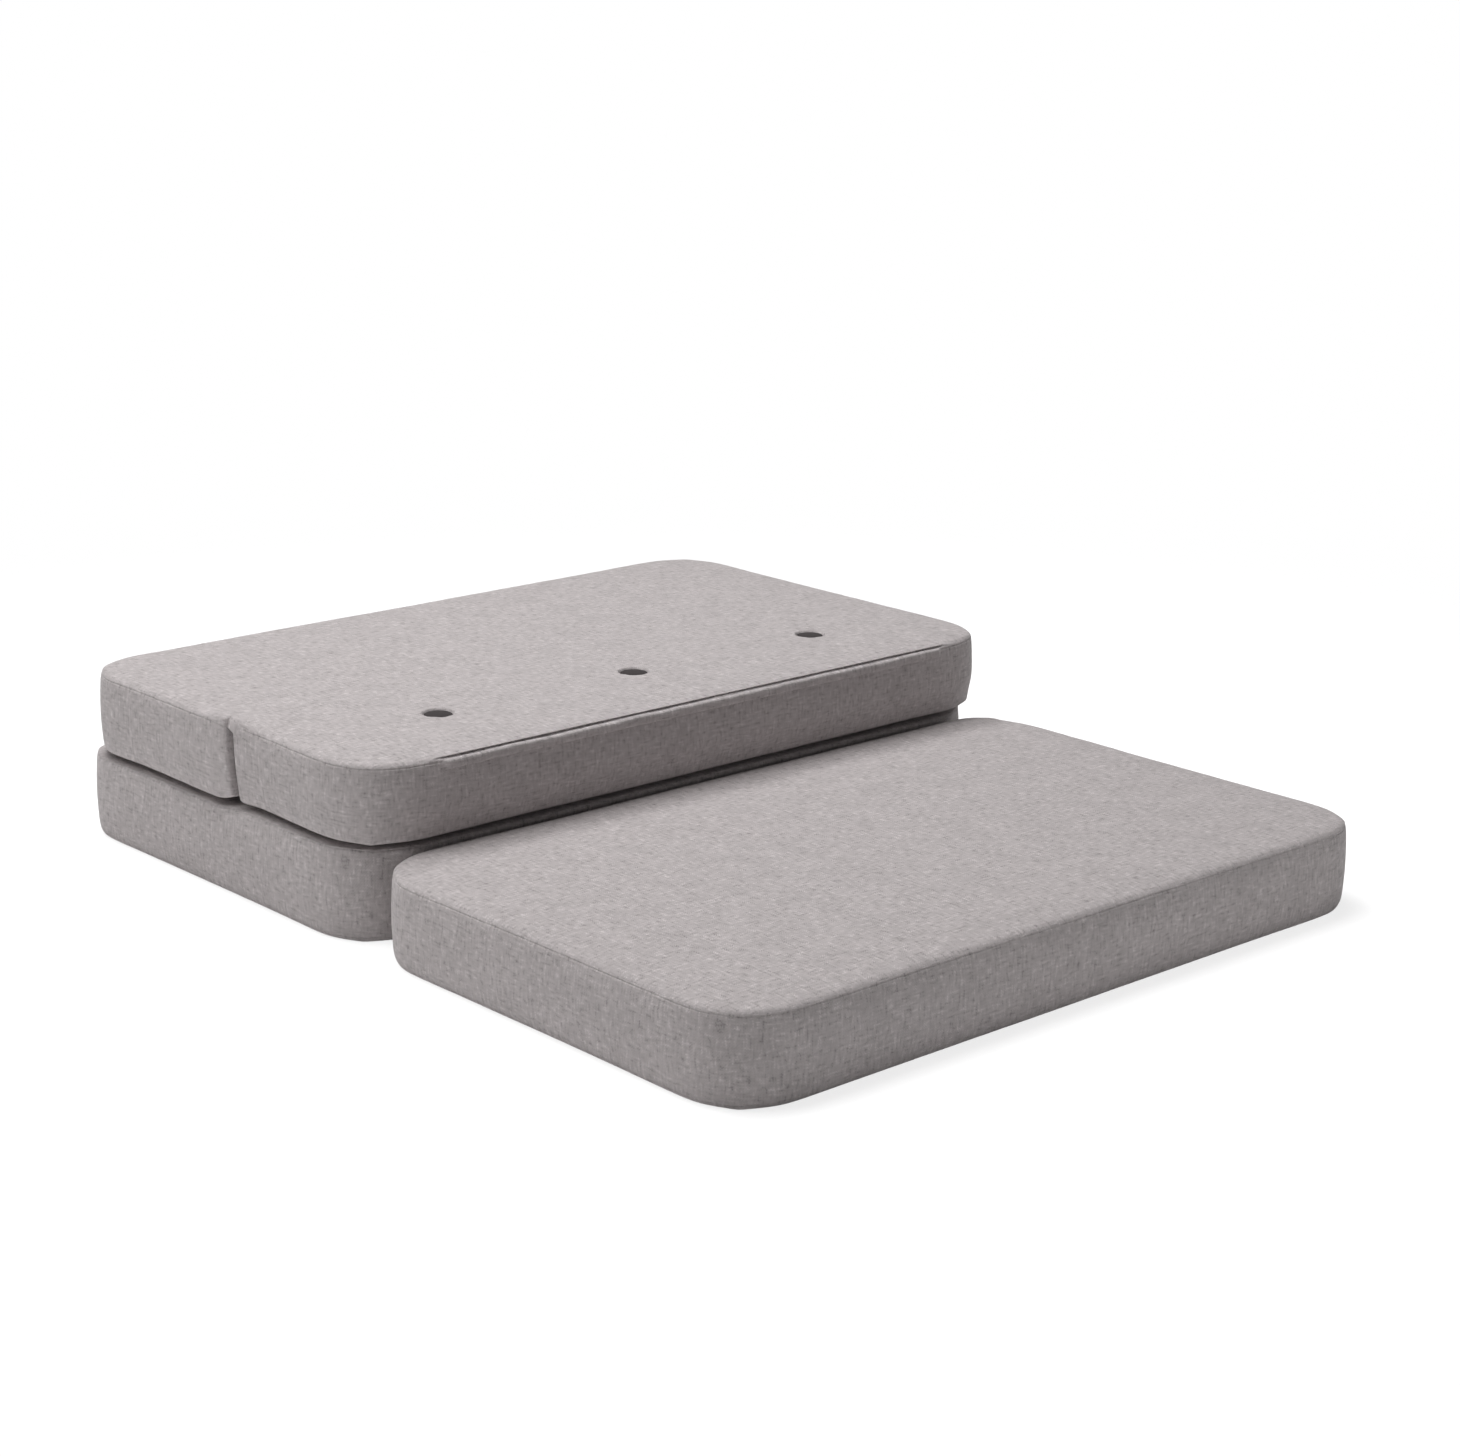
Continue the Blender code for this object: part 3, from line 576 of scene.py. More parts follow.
@dataclass
class LayerCover:
    """The woven cover of one foam layer, filled tight.

    A box is cut into loops, rounded in plan, crowned and smoothed. Cloth simulation under pressure gives it
    its fill, and then come the boxing seams, the zip's slot and the puckers round the buttons.
    """

    name: str
    split: Split = Split.NONE
    zip_outward: int = 1
    stands: bool = False
    carries: bool = False
    buttons: tuple[str, ...] = ()
    length: float = 1200 * MM
    depth: float = 740 * MM
    crown: float = 6 * MM
    contact_crown: float = 3 * MM
    corner: float = 100 * MM
    band: float = 20 * MM
    cell: float = 56 * MM
    seam_tuck: float = 3 * MM
    end_draw: float = 4 * MM
    front_draw: float = 1 * MM
    split_slant: float = 13 * MM
    split_crease: float = 0.36
    split_ease: float = 1.3 * MM
    split_lift: float = 3 * MM
    ear: float = 7 * MM
    set_in: float = 0.0
    front_swell: float = 14 * MM
    rear_rim_rise: float = 0.0
    contact_crease: float = 0.36
    underside_crease: float = 0.28
    lip_crease: float = 0.65
    foam_share: float = 0.3
    foam_unevenness: float = 0.05
    seam_share: float = 0.42
    puff_cap: float = 8 * MM
    foam_clear: float = 0.5 * MM
    foam_tuck: float = 7 * MM
    seam_drop: float = 7 * MM
    contact_seam_drop: float = 3 * MM
    seam_half_width: float = 1.3 * MM
    seam_depth: float = 0.9 * MM
    lip_drop: float = 2.4 * MM
    lip_half_height: float = 1.6 * MM
    lip_depth: float = 4 * MM
    slot_half_height: float = 2.4 * MM
    slot_lip: float = 0.8 * MM
    slot_depth: float = 4.5 * MM
    slot_half_length: float = 462 * MM
    lip_half_length: float = 486 * MM
    dimple_depth: float = 2 * MM
    dimple_inner: float = 15 * MM
    dimple_outer: float = 45 * MM
    well_depth: float = 5 * MM
    well_inner: float = 20.3 * MM
    well_outer: float = 23.5 * MM
    well_fine: float = 36 * MM
    well_swell: float = 1.4 * MM
    well_rim: float = 4 * MM
    well_fade: float = 10 * MM
    gather: float = 0.4 * MM
    top_zone: float = 12 * MM
    skin: float = 2 * MM
    foot_crown: float = 2 * MM
    seam_zone: float = 4 * MM
    tied_probe: float = 3 * MM
    foam_patch: float = 120 * MM
    stand_zone: float = 5 * MM
    pull_reach: float = 15 * MM
    wide_fold: float = 160 * MM
    wide_pull: float = 0.5 * MM
    tight_fold: float = 38 * MM
    tight_pull: float = 0.35 * MM
    draw_in: float = 0.4 * MM
    ear_reach: float = 45 * MM
    ear_width: float = 38 * MM
    end_reach: float = 160 * MM
    corner_free: float = 40 * MM
    corner_run: float = 190 * MM
    rim_reach: float = 70 * MM
    rim_run: float = 55 * MM
    rim_foot: float = 60 * MM
    rim_height: float = 50 * MM
    swell_reach: float = 32 * MM
    swell_foot: float = 98 * MM
    swell_height: float = 24 * MM
    swell_end: float = 20 * MM
    swell_run: float = 90 * MM
    zip_reach: float = 14 * MM
    slot_end: float = 4 * MM
    lip_end: float = 20 * MM
    lip_steepness: float = 1.6
    obj: Optional[bpy.types.Object] = field(default=None, repr=False)

    def __post_init__(self) -> None:
        """Read the cover's box from the frame."""
        self.node = self.name + "_cover"
        self.low, self.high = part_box(self.node)
        if self.split is Split.FRONT:
            self.low.y += self.split_ease
        if self.split is Split.REAR:
            self.high.y -= self.split_ease
        self.crown_below = 0 if self.stands else self.contact_crown
        self.crown_above = self.contact_crown if self.carries else self.crown
        self.edge_low = self.low.z + self.crown_below
        self.edge_high = self.high.z - self.crown_above
        self.front = self.low.y + (self.split_slant if self.split is Split.FRONT else 0)
        self.rear = self.high.y
        self.split_y = {Split.FRONT: self.front, Split.REAR: self.rear, Split.NONE: None}[self.split]
        self.has_lip = self.zip_outward < 0
        self.zip_z = sum(c.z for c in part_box(self.name + "_zip_slider")) / 2
        boxes = [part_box(b) for b in self.buttons]
        self.button_places = [(low + high) / 2 for low, high in boxes]

    def cuts(self) -> list[list[float]]:
        """Places where the cage is cut along X, Y and Z."""
        half = self.length / 2
        rim = [self.band, (self.band + self.corner) / 2, self.corner]
        count = round((self.length - 2 * self.corner) / self.cell)
        step = (self.length - 2 * self.corner) / count
        along_x = [s * (half - r) for r in rim[:2] for s in (-1, 1)]
        along_x += [self.corner - half + i * step for i in range(count + 1)]
        low_rim = rim if self.split is not Split.FRONT else rim[:1]
        high_rim = rim if self.split is not Split.REAR else rim[:1]
        low_y = self.front + low_rim[-1]
        high_y = self.rear - high_rim[-1]
        count_y = round((high_y - low_y) / self.cell)
        step_y = (high_y - low_y) / count_y
        along_y = [self.front + r for r in low_rim[:-1]] + [self.rear - r for r in high_rim[:-1]]
        along_y += [low_y + i * step_y for i in range(count_y + 1)]
        middle = (self.edge_low + self.edge_high) / 2
        along_z = [self.edge_low + self.band, middle, self.edge_high - self.band]
        return [along_x, along_y, along_z]

    def panel_of(self, normal: Vector) -> Panel:
        """Panel that a face of the uncut box belongs to, by its normal."""
        if abs(normal.z) > 0.5:
            return Panel.TOP if normal.z > 0 else Panel.BOTTOM
        if abs(normal.y) > 0.5:
            return Panel.REAR if normal.y > 0 else Panel.FRONT
        return Panel.RIGHT if normal.x > 0 else Panel.LEFT

    def along_outline(self, x: float, y: float, panel: Panel) -> float:
        """Distance along the rounded outline, for the map of the side panels.

        Args:
            x: Place along X on the square box.
            y: Place along Y on the square box.
            panel: The side panel.

        Returns:
            The distance from the middle of the front side, in metres.
        """
        half = self.length / 2
        straight = half - self.corner
        arc = math.pi / 4 * self.corner

        def shortened(value: float, limit: float) -> float:
            """Place along a side whose ends turn into the corners' arcs."""
            over = abs(value) - limit
            return value if over <= 0 else math.copysign(limit + over / self.corner * arc, value)

        middle = (self.front + self.rear) / 2
        half_depth = (self.rear - self.front) / 2
        across = shortened(y - middle, half_depth - self.corner) + half_depth - self.corner
        if panel is Panel.FRONT:
            return shortened(x, straight)
        if panel is Panel.REAR:
            return 2 * (straight + 2 * arc) + 2 * (half_depth - self.corner) - shortened(x, straight)
        side = straight + 2 * arc + across
        return side if panel is Panel.RIGHT else -side

    def in_plan(self, x: float, y: float) -> tuple[float, float]:
        """Move a point of the square plan to the rounded outline, ring by ring."""
        half = self.length / 2
        radius = self.corner
        a = (abs(x) - half + radius) / radius
        b, sign = -1.0, 0
        if self.split is not Split.FRONT and y < self.front + radius:
            b, sign = (self.front + radius - y) / radius, -1
        if self.split is not Split.REAR and y > self.rear - radius:
            b, sign = (y - self.rear + radius) / radius, 1
        if a <= 0 or b <= 0:
            return x, y
        reach = max(a, b) * radius
        turn = math.pi / 4 * (b / a if a >= b else 2 - a / b)
        centre_y = self.front + radius if sign < 0 else self.rear - radius
        new_x = math.copysign(half - radius + reach * math.cos(turn), x)
        return new_x, centre_y + sign * reach * math.sin(turn)

    def pulled(self, x: float, y: float, z: float) -> tuple[float, float]:
        """Draw a point of a side in: towards the seams, and between the corners."""
        half = self.length / 2
        middle_z = (self.edge_low + self.edge_high) / 2
        up = (z - middle_z) / (self.edge_high - middle_z)
        tuck = self.seam_tuck * min(1.0, up * up)
        whole_rear = self.rear if self.split is not Split.REAR else self.front + self.depth
        from_middle = (y - whole_rear + self.depth / 2) / (self.depth / 2)
        along_x = max(0.0, 1 - (x / half) ** 2)
        along_y = max(0.0, 1 - from_middle**2)
        new_x, new_y = x, y
        if abs(x) > half - self.corner:
            new_x -= math.copysign(tuck + self.end_draw * along_y, x)
        front_side = y < self.front + self.corner and self.split is not Split.FRONT
        rear_side = y > self.rear - self.corner and self.split is not Split.REAR
        if front_side or rear_side:
            new_y += (1 if front_side else -1) * (tuck + self.front_draw * along_x)
        return new_x, new_y

    def tightness(self, edge: bmesh.types.BMEdge) -> float:
        """Crease of an edge of the cut box.

        Args:
            edge: The edge, on the square box.

        Returns:
            0 for a soft edge, more at the split, where two layers touch and over the lip.
        """
        if edge.calc_face_angle() < 1:
            return 0.0
        ends = [vert.co for vert in edge.verts]
        at_top = all(place.z > self.edge_high - TOUCH for place in ends)
        at_bottom = all(place.z < self.edge_low + TOUCH for place in ends)
        at_split = self.split_y is not None and all(abs(place.y - self.split_y) < TOUCH for place in ends)
        if at_split and at_bottom and self.split is Split.FRONT:
            return 0.0
        if at_bottom and not self.stands:
            return self.underside_crease
        if at_top and self.carries:
            return self.contact_crease
        if at_split:
            return self.split_crease
        straight = self.length / 2 - self.corner + TOUCH
        in_front = all(place.y < self.front + TOUCH and abs(place.x) < straight for place in ends)
        return self.lip_crease if self.has_lip and at_top and in_front else 0.0

    def cage(self) -> bpy.types.Object:
        """Build the coarse closed form, with its cloth map."""
        half = self.length / 2
        size = Vector((self.length, self.rear - self.front, self.edge_high - self.edge_low))
        middle = Vector((0, (self.front + self.rear) / 2, (self.edge_low + self.edge_high) / 2))
        bm = bmesh.new()
        bmesh.ops.create_cube(bm, size=1)
        bmesh.ops.scale(bm, vec=size, verts=bm.verts)
        bmesh.ops.translate(bm, vec=middle, verts=bm.verts)
        for axis, places in enumerate(self.cuts()):
            normal = Vector([axis == i for i in range(3)])
            for place in places:
                geometry = bm.verts[:] + bm.edges[:] + bm.faces[:]
                bmesh.ops.bisect_plane(bm, geom=geometry, plane_co=normal * place, plane_no=normal)
        bm.normal_update()
        cloth = bm.loops.layers.uv.new(CLOTH_MAP)
        crease = bm.edges.layers.float.new("crease_edge")
        flats = []
        for face in bm.faces:
            panel = self.panel_of(face.normal)
            if panel in (Panel.TOP, Panel.BOTTOM):
                flats.append(face)
                continue
            for loop in face.loops:
                x, y, z = loop.vert.co
                loop[cloth].uv = (self.along_outline(x, y, panel), z)
        for edge in bm.edges:
            edge[crease] = self.tightness(edge)
        for vert in bm.verts:
            x, y, z = vert.co
            on_top, on_bottom = z > self.edge_high - TOUCH, z < self.edge_low + TOUCH
            to_front = y - self.front if self.split is not Split.FRONT else half
            to_rear = self.rear - y if self.split is not Split.REAR else half
            inside = min(half - abs(x), to_front, to_rear)
            rise = 1 - max(0.0, 1 - inside / self.corner) ** 2
            if (on_top and self.carries) or (on_bottom and not self.stands):
                rise = max(0.0, 1 - max(0.0, 1 - (inside - self.band) / (self.corner - self.band)) ** 2)
            new_x, new_y = self.in_plan(x, y)
            if not (on_top or on_bottom) or inside < TOUCH:
                new_x, new_y = self.pulled(new_x, new_y, z)
            if on_top:
                z += self.crown_above * rise
            if on_bottom:
                z -= max(self.crown_below, self.foot_crown) * rise
            if self.split_y is not None:
                lean = max(0.0, 1 - abs(y - self.split_y) / (2 * self.corner))
                down = (self.edge_high - vert.co.z) / (self.edge_high - self.edge_low)
                new_y -= self.split_slant * lean * min(1.0, max(0.0, down))
                if on_bottom and self.split is Split.FRONT:
                    z += self.split_lift * max(0.0, 1 - abs(y - self.split_y) / (1.5 * self.band))
            vert.co = (new_x, new_y, z)
        for face in flats:
            for loop in face.loops:
                loop[cloth].uv = loop.vert.co.xy
        return mesh_object(self.node + "_cloth", bm)

    def start(self) -> bpy.types.Object:
        """Build the smoothed form that the simulation starts from."""
        self.obj = self.cage()
        smoothed(self.obj, 2)
        co = points_of(self.obj.data)
        co[:, 2] -= self.dimple(co)
        set_points(self.obj.data, co)
        return self.obj

    def dimple(self, co: np.ndarray) -> np.ndarray:
        """How far each point of the top face is tied down by the buttons."""
        sunk = np.zeros(len(co))
        on_top = co[:, 2] > self.edge_high - self.skin
        for place in self.button_places:
            reach = np.hypot(co[:, 0] - place.x, co[:, 1] - place.y)
            share = (self.dimple_outer - reach) / (self.dimple_outer - self.dimple_inner)
            share = np.clip(share, 0, 1)
            sunk += np.where(on_top, self.dimple_depth * share**2, 0)
        return sunk

    def foam_hold(self, co: np.ndarray) -> np.ndarray:
        """How firmly each point of the cloth keeps to the foam, from 0 to 1.

        Args:
            co: Points of the cloth.

        Returns:
            One share for each point: soft on the panels, firmer at the seams, and all at the buttons.
        """
        soft = self.foam_share + self.foam_unevenness * ripple(co, self.foam_patch, 5.1 + self.low.y)
        to_seam = np.min([abs(co[:, 2] - level) for level in self.seam_levels()], axis=0)
        hold = np.where(to_seam < self.seam_zone, self.seam_share, soft)
        tied = self.dimple(co + [0, 0, self.tied_probe]) > self.dimple_depth * 0.5
        return np.where(tied, 1.0, hold)

    def add_cloth(self) -> None:
        """Add the cloth simulation, held back by the foam and the seams."""
        hold = self.foam_hold(points_of(self.obj.data))
        group = self.obj.vertex_groups.new(name="foam_hold")
        for index, share in enumerate(hold):
            group.add([index], float(share), "REPLACE")
        cloth = self.obj.modifiers.new("fill", "CLOTH")
        for key, value in CLOTH_SETTINGS.items():
            setattr(cloth.settings, key, value)
        cloth.settings.effector_weights.gravity = 0
        cloth.settings.vertex_group_mass = group.name
        cloth.collision_settings.use_collision = False

    def keep_cloth(self) -> None:
        """Take the simulated places, no further than the cap, and drop the simulation."""
        graph = bpy.context.evaluated_depsgraph_get()
        filled = points_of(self.obj.evaluated_get(graph).data)
        self.obj.modifiers.clear()
        start = points_of(self.obj.data)
        moved = filled - start
        length = np.maximum(np.linalg.norm(moved, axis=1), 1e-9)
        share = self.puff_cap * np.tanh(length / self.puff_cap) / length
        LOG.info("%s: cloth moved %.1f mm at most", self.node, length.max() / MM)
        set_points(self.obj.data, start + moved * share[:, None])

    def fit(self) -> None:
        """Bring the form back to the box of its solid, and flat where it stands."""
        co = points_of(self.obj.data)
        low, high = co.min(0), co.max(0)
        want_low, want_high = np.array(self.low), np.array(self.high)
        for axis in (0, 1):
            share = (co[:, axis] - low[axis]) / (high[axis] - low[axis])
            co[:, axis] = want_low[axis] + share * (want_high[axis] - want_low[axis])
        above = co[:, 2] - self.edge_high
        rise = self.crown_above / (high[2] - self.edge_high)
        co[:, 2] = np.where(above > 0, self.edge_high + above * rise, co[:, 2])
        below = self.edge_low - co[:, 2]
        if self.stands:
            co[:, 2] = np.maximum(co[:, 2], self.low.z)
        else:
            sag = self.crown_below / (self.edge_low - low[2])
            co[:, 2] = np.where(below > 0, self.edge_low - below * sag, co[:, 2])
        set_points(self.obj.data, co)

    def lie_on_foam(self) -> None:
        """Lift the cloth where it would dip into its foam."""
        tree = surface_tree((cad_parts[self.name + "_foam"],))
        lifted = 0
        for vert in self.obj.data.vertices:
            near, normal, _, _ = tree.find_nearest(vert.co)
            height = (vert.co - near).dot(normal)
            if height < self.foam_clear and vert.co.z > self.low.z + self.foam_clear:
                vert.co += normal * (self.foam_clear - height)
                lifted += 1
        self.obj.data.update()
        LOG.info("%s: %d points lifted off the foam", self.node, lifted)

    def relax(self) -> None:
        """Give the cloth the slight unevenness of hand-pulled upholstery."""
        co = points_of(self.obj.data)
        normals = normals_of(self.obj.data)
        to_edge = np.minimum(abs(co[:, 2] - self.edge_high), abs(co[:, 2] - self.edge_low))
        near = np.exp(-to_edge / self.pull_reach)
        wide = ripple(co, self.wide_fold, 3.7 + self.low.z) * self.wide_pull
        tight = ripple(co, self.tight_fold, 9.1 + self.low.y) * self.tight_pull
        push = wide + tight * near - self.draw_in
        keep = np.ones(len(co))
        if self.stands:
            keep = np.clip((co[:, 2] - self.low.z) / self.stand_zone, 0, 1)
        set_points(self.obj.data, co + normals * (push * keep)[:, None])

    def refine_wells(self) -> None:
        """Divide the cloth finely round the buttons, where it drops steeply."""
        bm = bmesh.new()
        bm.from_mesh(self.obj.data)
        near = []
        for edge in bm.edges:
            middle = (edge.verts[0].co + edge.verts[1].co) / 2
            away = min((middle.xy - place.xy).length for place in self.button_places)
            if away < self.well_fine and middle.z > self.edge_high - self.top_zone:
                near.append(edge)
        bmesh.ops.subdivide_edges(bm, edges=near, cuts=3, use_grid_fill=True)
        bm.to_mesh(self.obj.data)
        bm.free()
        self.obj.data.shade_smooth()

    def pucker(self) -> None:
        """Draw the cloth down round each button, and gather it there in short folds."""
        co = points_of(self.obj.data)
        on_top = co[:, 2] > self.edge_high - self.top_zone
        for index, place in enumerate(self.button_places):
            away = co[:, :2] - np.array(place.xy)
            reach = np.hypot(away[:, 0], away[:, 1])
            turn = np.arctan2(away[:, 1], away[:, 0])
            well = self.well_depth * eased((self.well_outer - reach) / (self.well_outer - self.well_inner))
            outside = np.clip((reach - self.well_inner) / self.well_rim, 0, 1)
            fade = np.exp(-np.maximum(reach - self.well_outer, 0) / self.well_fade) * outside
            folds = np.cos(5 * turn + index) * 0.7 + np.cos(8 * turn - 2 * index) * 0.4
            co[:, 2] += np.where(on_top, (self.well_swell + self.gather * folds) * fade - well, 0)
        set_points(self.obj.data, co)

    def settle(self) -> None:
        """Let the stuffed corners at the split stand up, and set the layer's left end in or out."""
        co = points_of(self.obj.data)
        by_end = np.exp(-(((self.length / 2 - abs(co[:, 0])) / self.ear_reach) ** 2))
        by_split = np.exp(-(((co[:, 1] - self.split_y) / self.ear_width) ** 2))
        near_top = eased(1 - (self.edge_high - co[:, 2]) / self.ear_reach)
        at_left = eased(1 - (co[:, 0] + self.length / 2) / self.end_reach)
        co[:, 2] += self.ear * by_end * by_split * near_top * at_left
        off_corner = eased(1 - (abs(co[:, 1] - self.split_y) - self.corner_free) / self.corner_run)
        co[:, 0] += self.set_in * at_left * off_corner
        set_points(self.obj.data, co)

    def lift_rear_rim(self) -> None:
        """Let the rim that is pressed against the next layer stand up a little."""
        co = points_of(self.obj.data)
        near_rear = eased((co[:, 1] - self.high.y + self.rim_reach) / self.rim_run)
        up = eased((co[:, 2] - self.rim_foot) / self.rim_height)
        co[:, 2] += self.rear_rim_rise * near_rear * up
        set_points(self.obj.data, co)

    def stand_proud(self) -> None:
        """Let the front rim of the base swell a little over the front panel's edge."""
        co = points_of(self.obj.data)
        near_front = eased((self.low.y + self.swell_reach - co[:, 1]) / self.swell_reach)
        up = eased((co[:, 2] - self.swell_foot) / self.swell_height)
        straight = eased((self.length / 2 - abs(co[:, 0]) - self.swell_end) / self.swell_run)
        co[:, 1] -= self.front_swell * near_front * up * straight
        set_points(self.obj.data, co)

    def cut_loops(self, levels: Sequence[float]) -> None:
        """Cut level loops right round the cover.

        Args:
            levels: Heights of the loops.
        """
        bm = bmesh.new()
        bm.from_mesh(self.obj.data)
        for level in levels:
            geometry = bm.verts[:] + bm.edges[:] + bm.faces[:]
            bmesh.ops.bisect_plane(bm, geom=geometry, plane_co=(0, 0, level), plane_no=(0, 0, 1))
        bm.to_mesh(self.obj.data)
        bm.free()
        self.obj.data.shade_smooth()

    def seam_levels(self) -> list[float]:
        """Heights of the boxing seams, nearer the edge where two layers touch."""
        upper = self.contact_seam_drop if self.carries else self.seam_drop
        lower = self.seam_drop if self.stands else self.contact_seam_drop
        return [self.edge_high - upper, self.edge_low + lower]

    def sew(self) -> None:
        """Cut the boxing seams as narrow grooves, the zip's slot and the groove over a lip."""
        levels = []
        lip_z = self.edge_high - self.lip_drop
        if self.has_lip:
            levels += [lip_z + k * self.lip_half_height for k in (-1, -0.6, 0, 0.6, 1)]
        for seam in self.seam_levels():
            levels += [seam + k * self.seam_half_width for k in (-1, -0.5, 0, 0.5, 1)]
        slot = [self.slot_half_height + self.slot_lip, self.slot_half_height]
        levels += [self.zip_z + s * h for h in slot for s in (-1, 1)]
        self.cut_loops(levels)
        co = points_of(self.obj.data)
        normals = normals_of(self.obj.data)
        sideways = normals * [1, 1, 0]
        sideways /= np.maximum(np.linalg.norm(sideways, axis=1), 1e-6)[:, None]
        sink = np.zeros(len(co))
        for seam in self.seam_levels():
            share = np.clip(1 - abs(co[:, 2] - seam) / self.seam_half_width, 0, 1)
            sink += self.seam_depth * share
        side_y = self.high.y if self.zip_outward > 0 else self.low.y
        by_zip = abs(co[:, 1] - side_y) < self.zip_reach
        along = np.clip((self.slot_half_length - abs(co[:, 0])) / self.slot_end, 0, 1)
        in_slot = abs(co[:, 2] - self.zip_z) < self.slot_half_height + MM / 100
        sink = np.where(by_zip & in_slot, np.maximum(sink, self.slot_depth * along), sink)
        if self.has_lip:
            share = np.clip(self.lip_steepness * (1 - abs(co[:, 2] - lip_z) / self.lip_half_height), 0, 1)
            reach = np.clip((self.lip_half_length - abs(co[:, 0])) / self.lip_end, 0, 1)
            sink = np.where(by_zip, np.maximum(sink, self.lip_depth * share * reach), sink)
        set_points(self.obj.data, co - sideways * sink[:, None])

    def finish(self) -> bpy.types.Object:
        """Refine, sew and dress the cover, and give it its place in the frame."""
        smoothed(self.obj, 1)
        self.fit()
        self.relax()
        if self.buttons:
            self.refine_wells()
            self.pucker()
        if self.split_y is not None:
            self.settle()
        self.lie_on_foam()
        self.sew()
        if self.rear_rim_rise:
            self.lift_rear_rim()
        if self.carries:
            self.stand_proud()
        if self.carries or not self.stands:
            raised = CONTACT_RISE.raised(points_of(self.obj.data), upper=not self.stands)
            set_points(self.obj.data, raised)
        if not self.stands:
            rising_foam(self.name, self.foam_tuck if self.split is Split.FRONT else 0.0)
        self.obj.data.materials.append(MATERIALS["cover"])
        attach(self.obj, self.name)
        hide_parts(self.node)
        LOG.info("%s: %d faces", self.node, len(self.obj.data.polygons))
        return self.obj


@dataclass
class HingeWeb:
    """A sewn web that joins two layers."""

    name: str
    bodies: tuple[str, str]
    nodes: tuple[str, str]
    half_length: float = 500 * MM
    thickness: float = 0.8 * MM
    columns: int = 40
    slot: str = "hinge_web"
    flat: tuple[float, float] = field(default=(0.0, 0.0), repr=False)

    def strip(self, outline: Sequence[tuple[float, float]], half_length: float) -> bpy.types.Object:
        """Draw an outline in the YZ plane out along X as a sheet.

        Args:
            outline: Points across the web, from the first body to the second.
            half_length: Half the web's length.

        Returns:
            The sheet, with thickness.
        """
        bm = bmesh.new()
        cloth = bm.loops.layers.uv.new(CLOTH_MAP)
        travelled = [0.0]
        for (y0, z0), (y1, z1) in zip(outline, outline[1:]):
            travelled.append(travelled[-1] + math.hypot(y1 - y0, z1 - z0))
        rows = []
        for i in range(self.columns + 1):
            x = half_length * (2 * i / self.columns - 1)
            rows.append([bm.verts.new((x, y, z)) for y, z in outline])
        for i, (left, right) in enumerate(zip(rows, rows[1:])):
            for j in range(len(outline) - 1):
                face = bm.faces.new((left[j], right[j], right[j + 1], left[j + 1]))
                for loop, (di, dj) in zip(face.loops, ((0, 0), (1, 0), (1, 1), (0, 1))):
                    loop[cloth].uv = (rows[i + di][0].co.x, travelled[j + dj])
        bm.normal_update()
        self.flat = (2 * half_length, travelled[-1])
        return mesh_object(self.name, bm)

    def dress(self, obj: bpy.types.Object, start: Vector, end: Vector) -> bpy.types.Object:
        """Give the web its thickness and finish.

        Args:
            obj: The sheet.
            start: Where it starts to leave the first body; not used.
            end: Where it belongs to the second; not used.

        Returns:
            The dressed web.
        """
        own = self.slot == "hinge_web"
        solid = obj.modifiers.new("thickness", "SOLIDIFY")
        solid.thickness = self.thickness
        solid.offset = 0 if own else 1
        obj.data.materials.append(MATERIALS["web" if own else "cover"])
        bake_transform(obj)
        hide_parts(*self.nodes)
        LOG.info("%s: %.0f x %.0f mm", self.name, self.flat[0] / MM, self.flat[1] / MM)
        return obj


@dataclass
class FrontWeb(HingeWeb):
    """The web at the floor: down from the base, round the fold and up at the front panel."""

    name: str = "front_web"
    bodies: tuple[str, str] = ("base", "front_panel")
    nodes: tuple[str, str] = ("front_web_base_half", "front_web_panel_half")
    foot: float = 0.4 * MM
    turn_steps: int = 6

    def build(self) -> bpy.types.Object:
        """Draw the web between the two layers and dress it."""
        base_low, base_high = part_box(self.nodes[0])
        panel_low, panel_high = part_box(self.nodes[1])
        y_base = (base_low.y + base_high.y) / 2
        y_panel = (panel_low.y + panel_high.y) / 2
        middle, radius = (y_base + y_panel) / 2, (y_base - y_panel) / 2
        turns = [math.pi * k / self.turn_steps for k in range(self.turn_steps + 1)]
        fold_z = self.foot + radius
        bend = [(middle + radius * math.cos(a), fold_z - radius * math.sin(a)) for a in turns]
        rise = [base_high.z * share for share in (1, 0.75, 0.5, 0.25)]
        outline = [(y_base, z) for z in rise] + bend + [(y_panel, z) for z in reversed(rise)]
        obj = self.strip(outline, self.half_length)
        return self.dress(obj, Vector((0, y_base, 0)), Vector((0, y_panel, 0)))


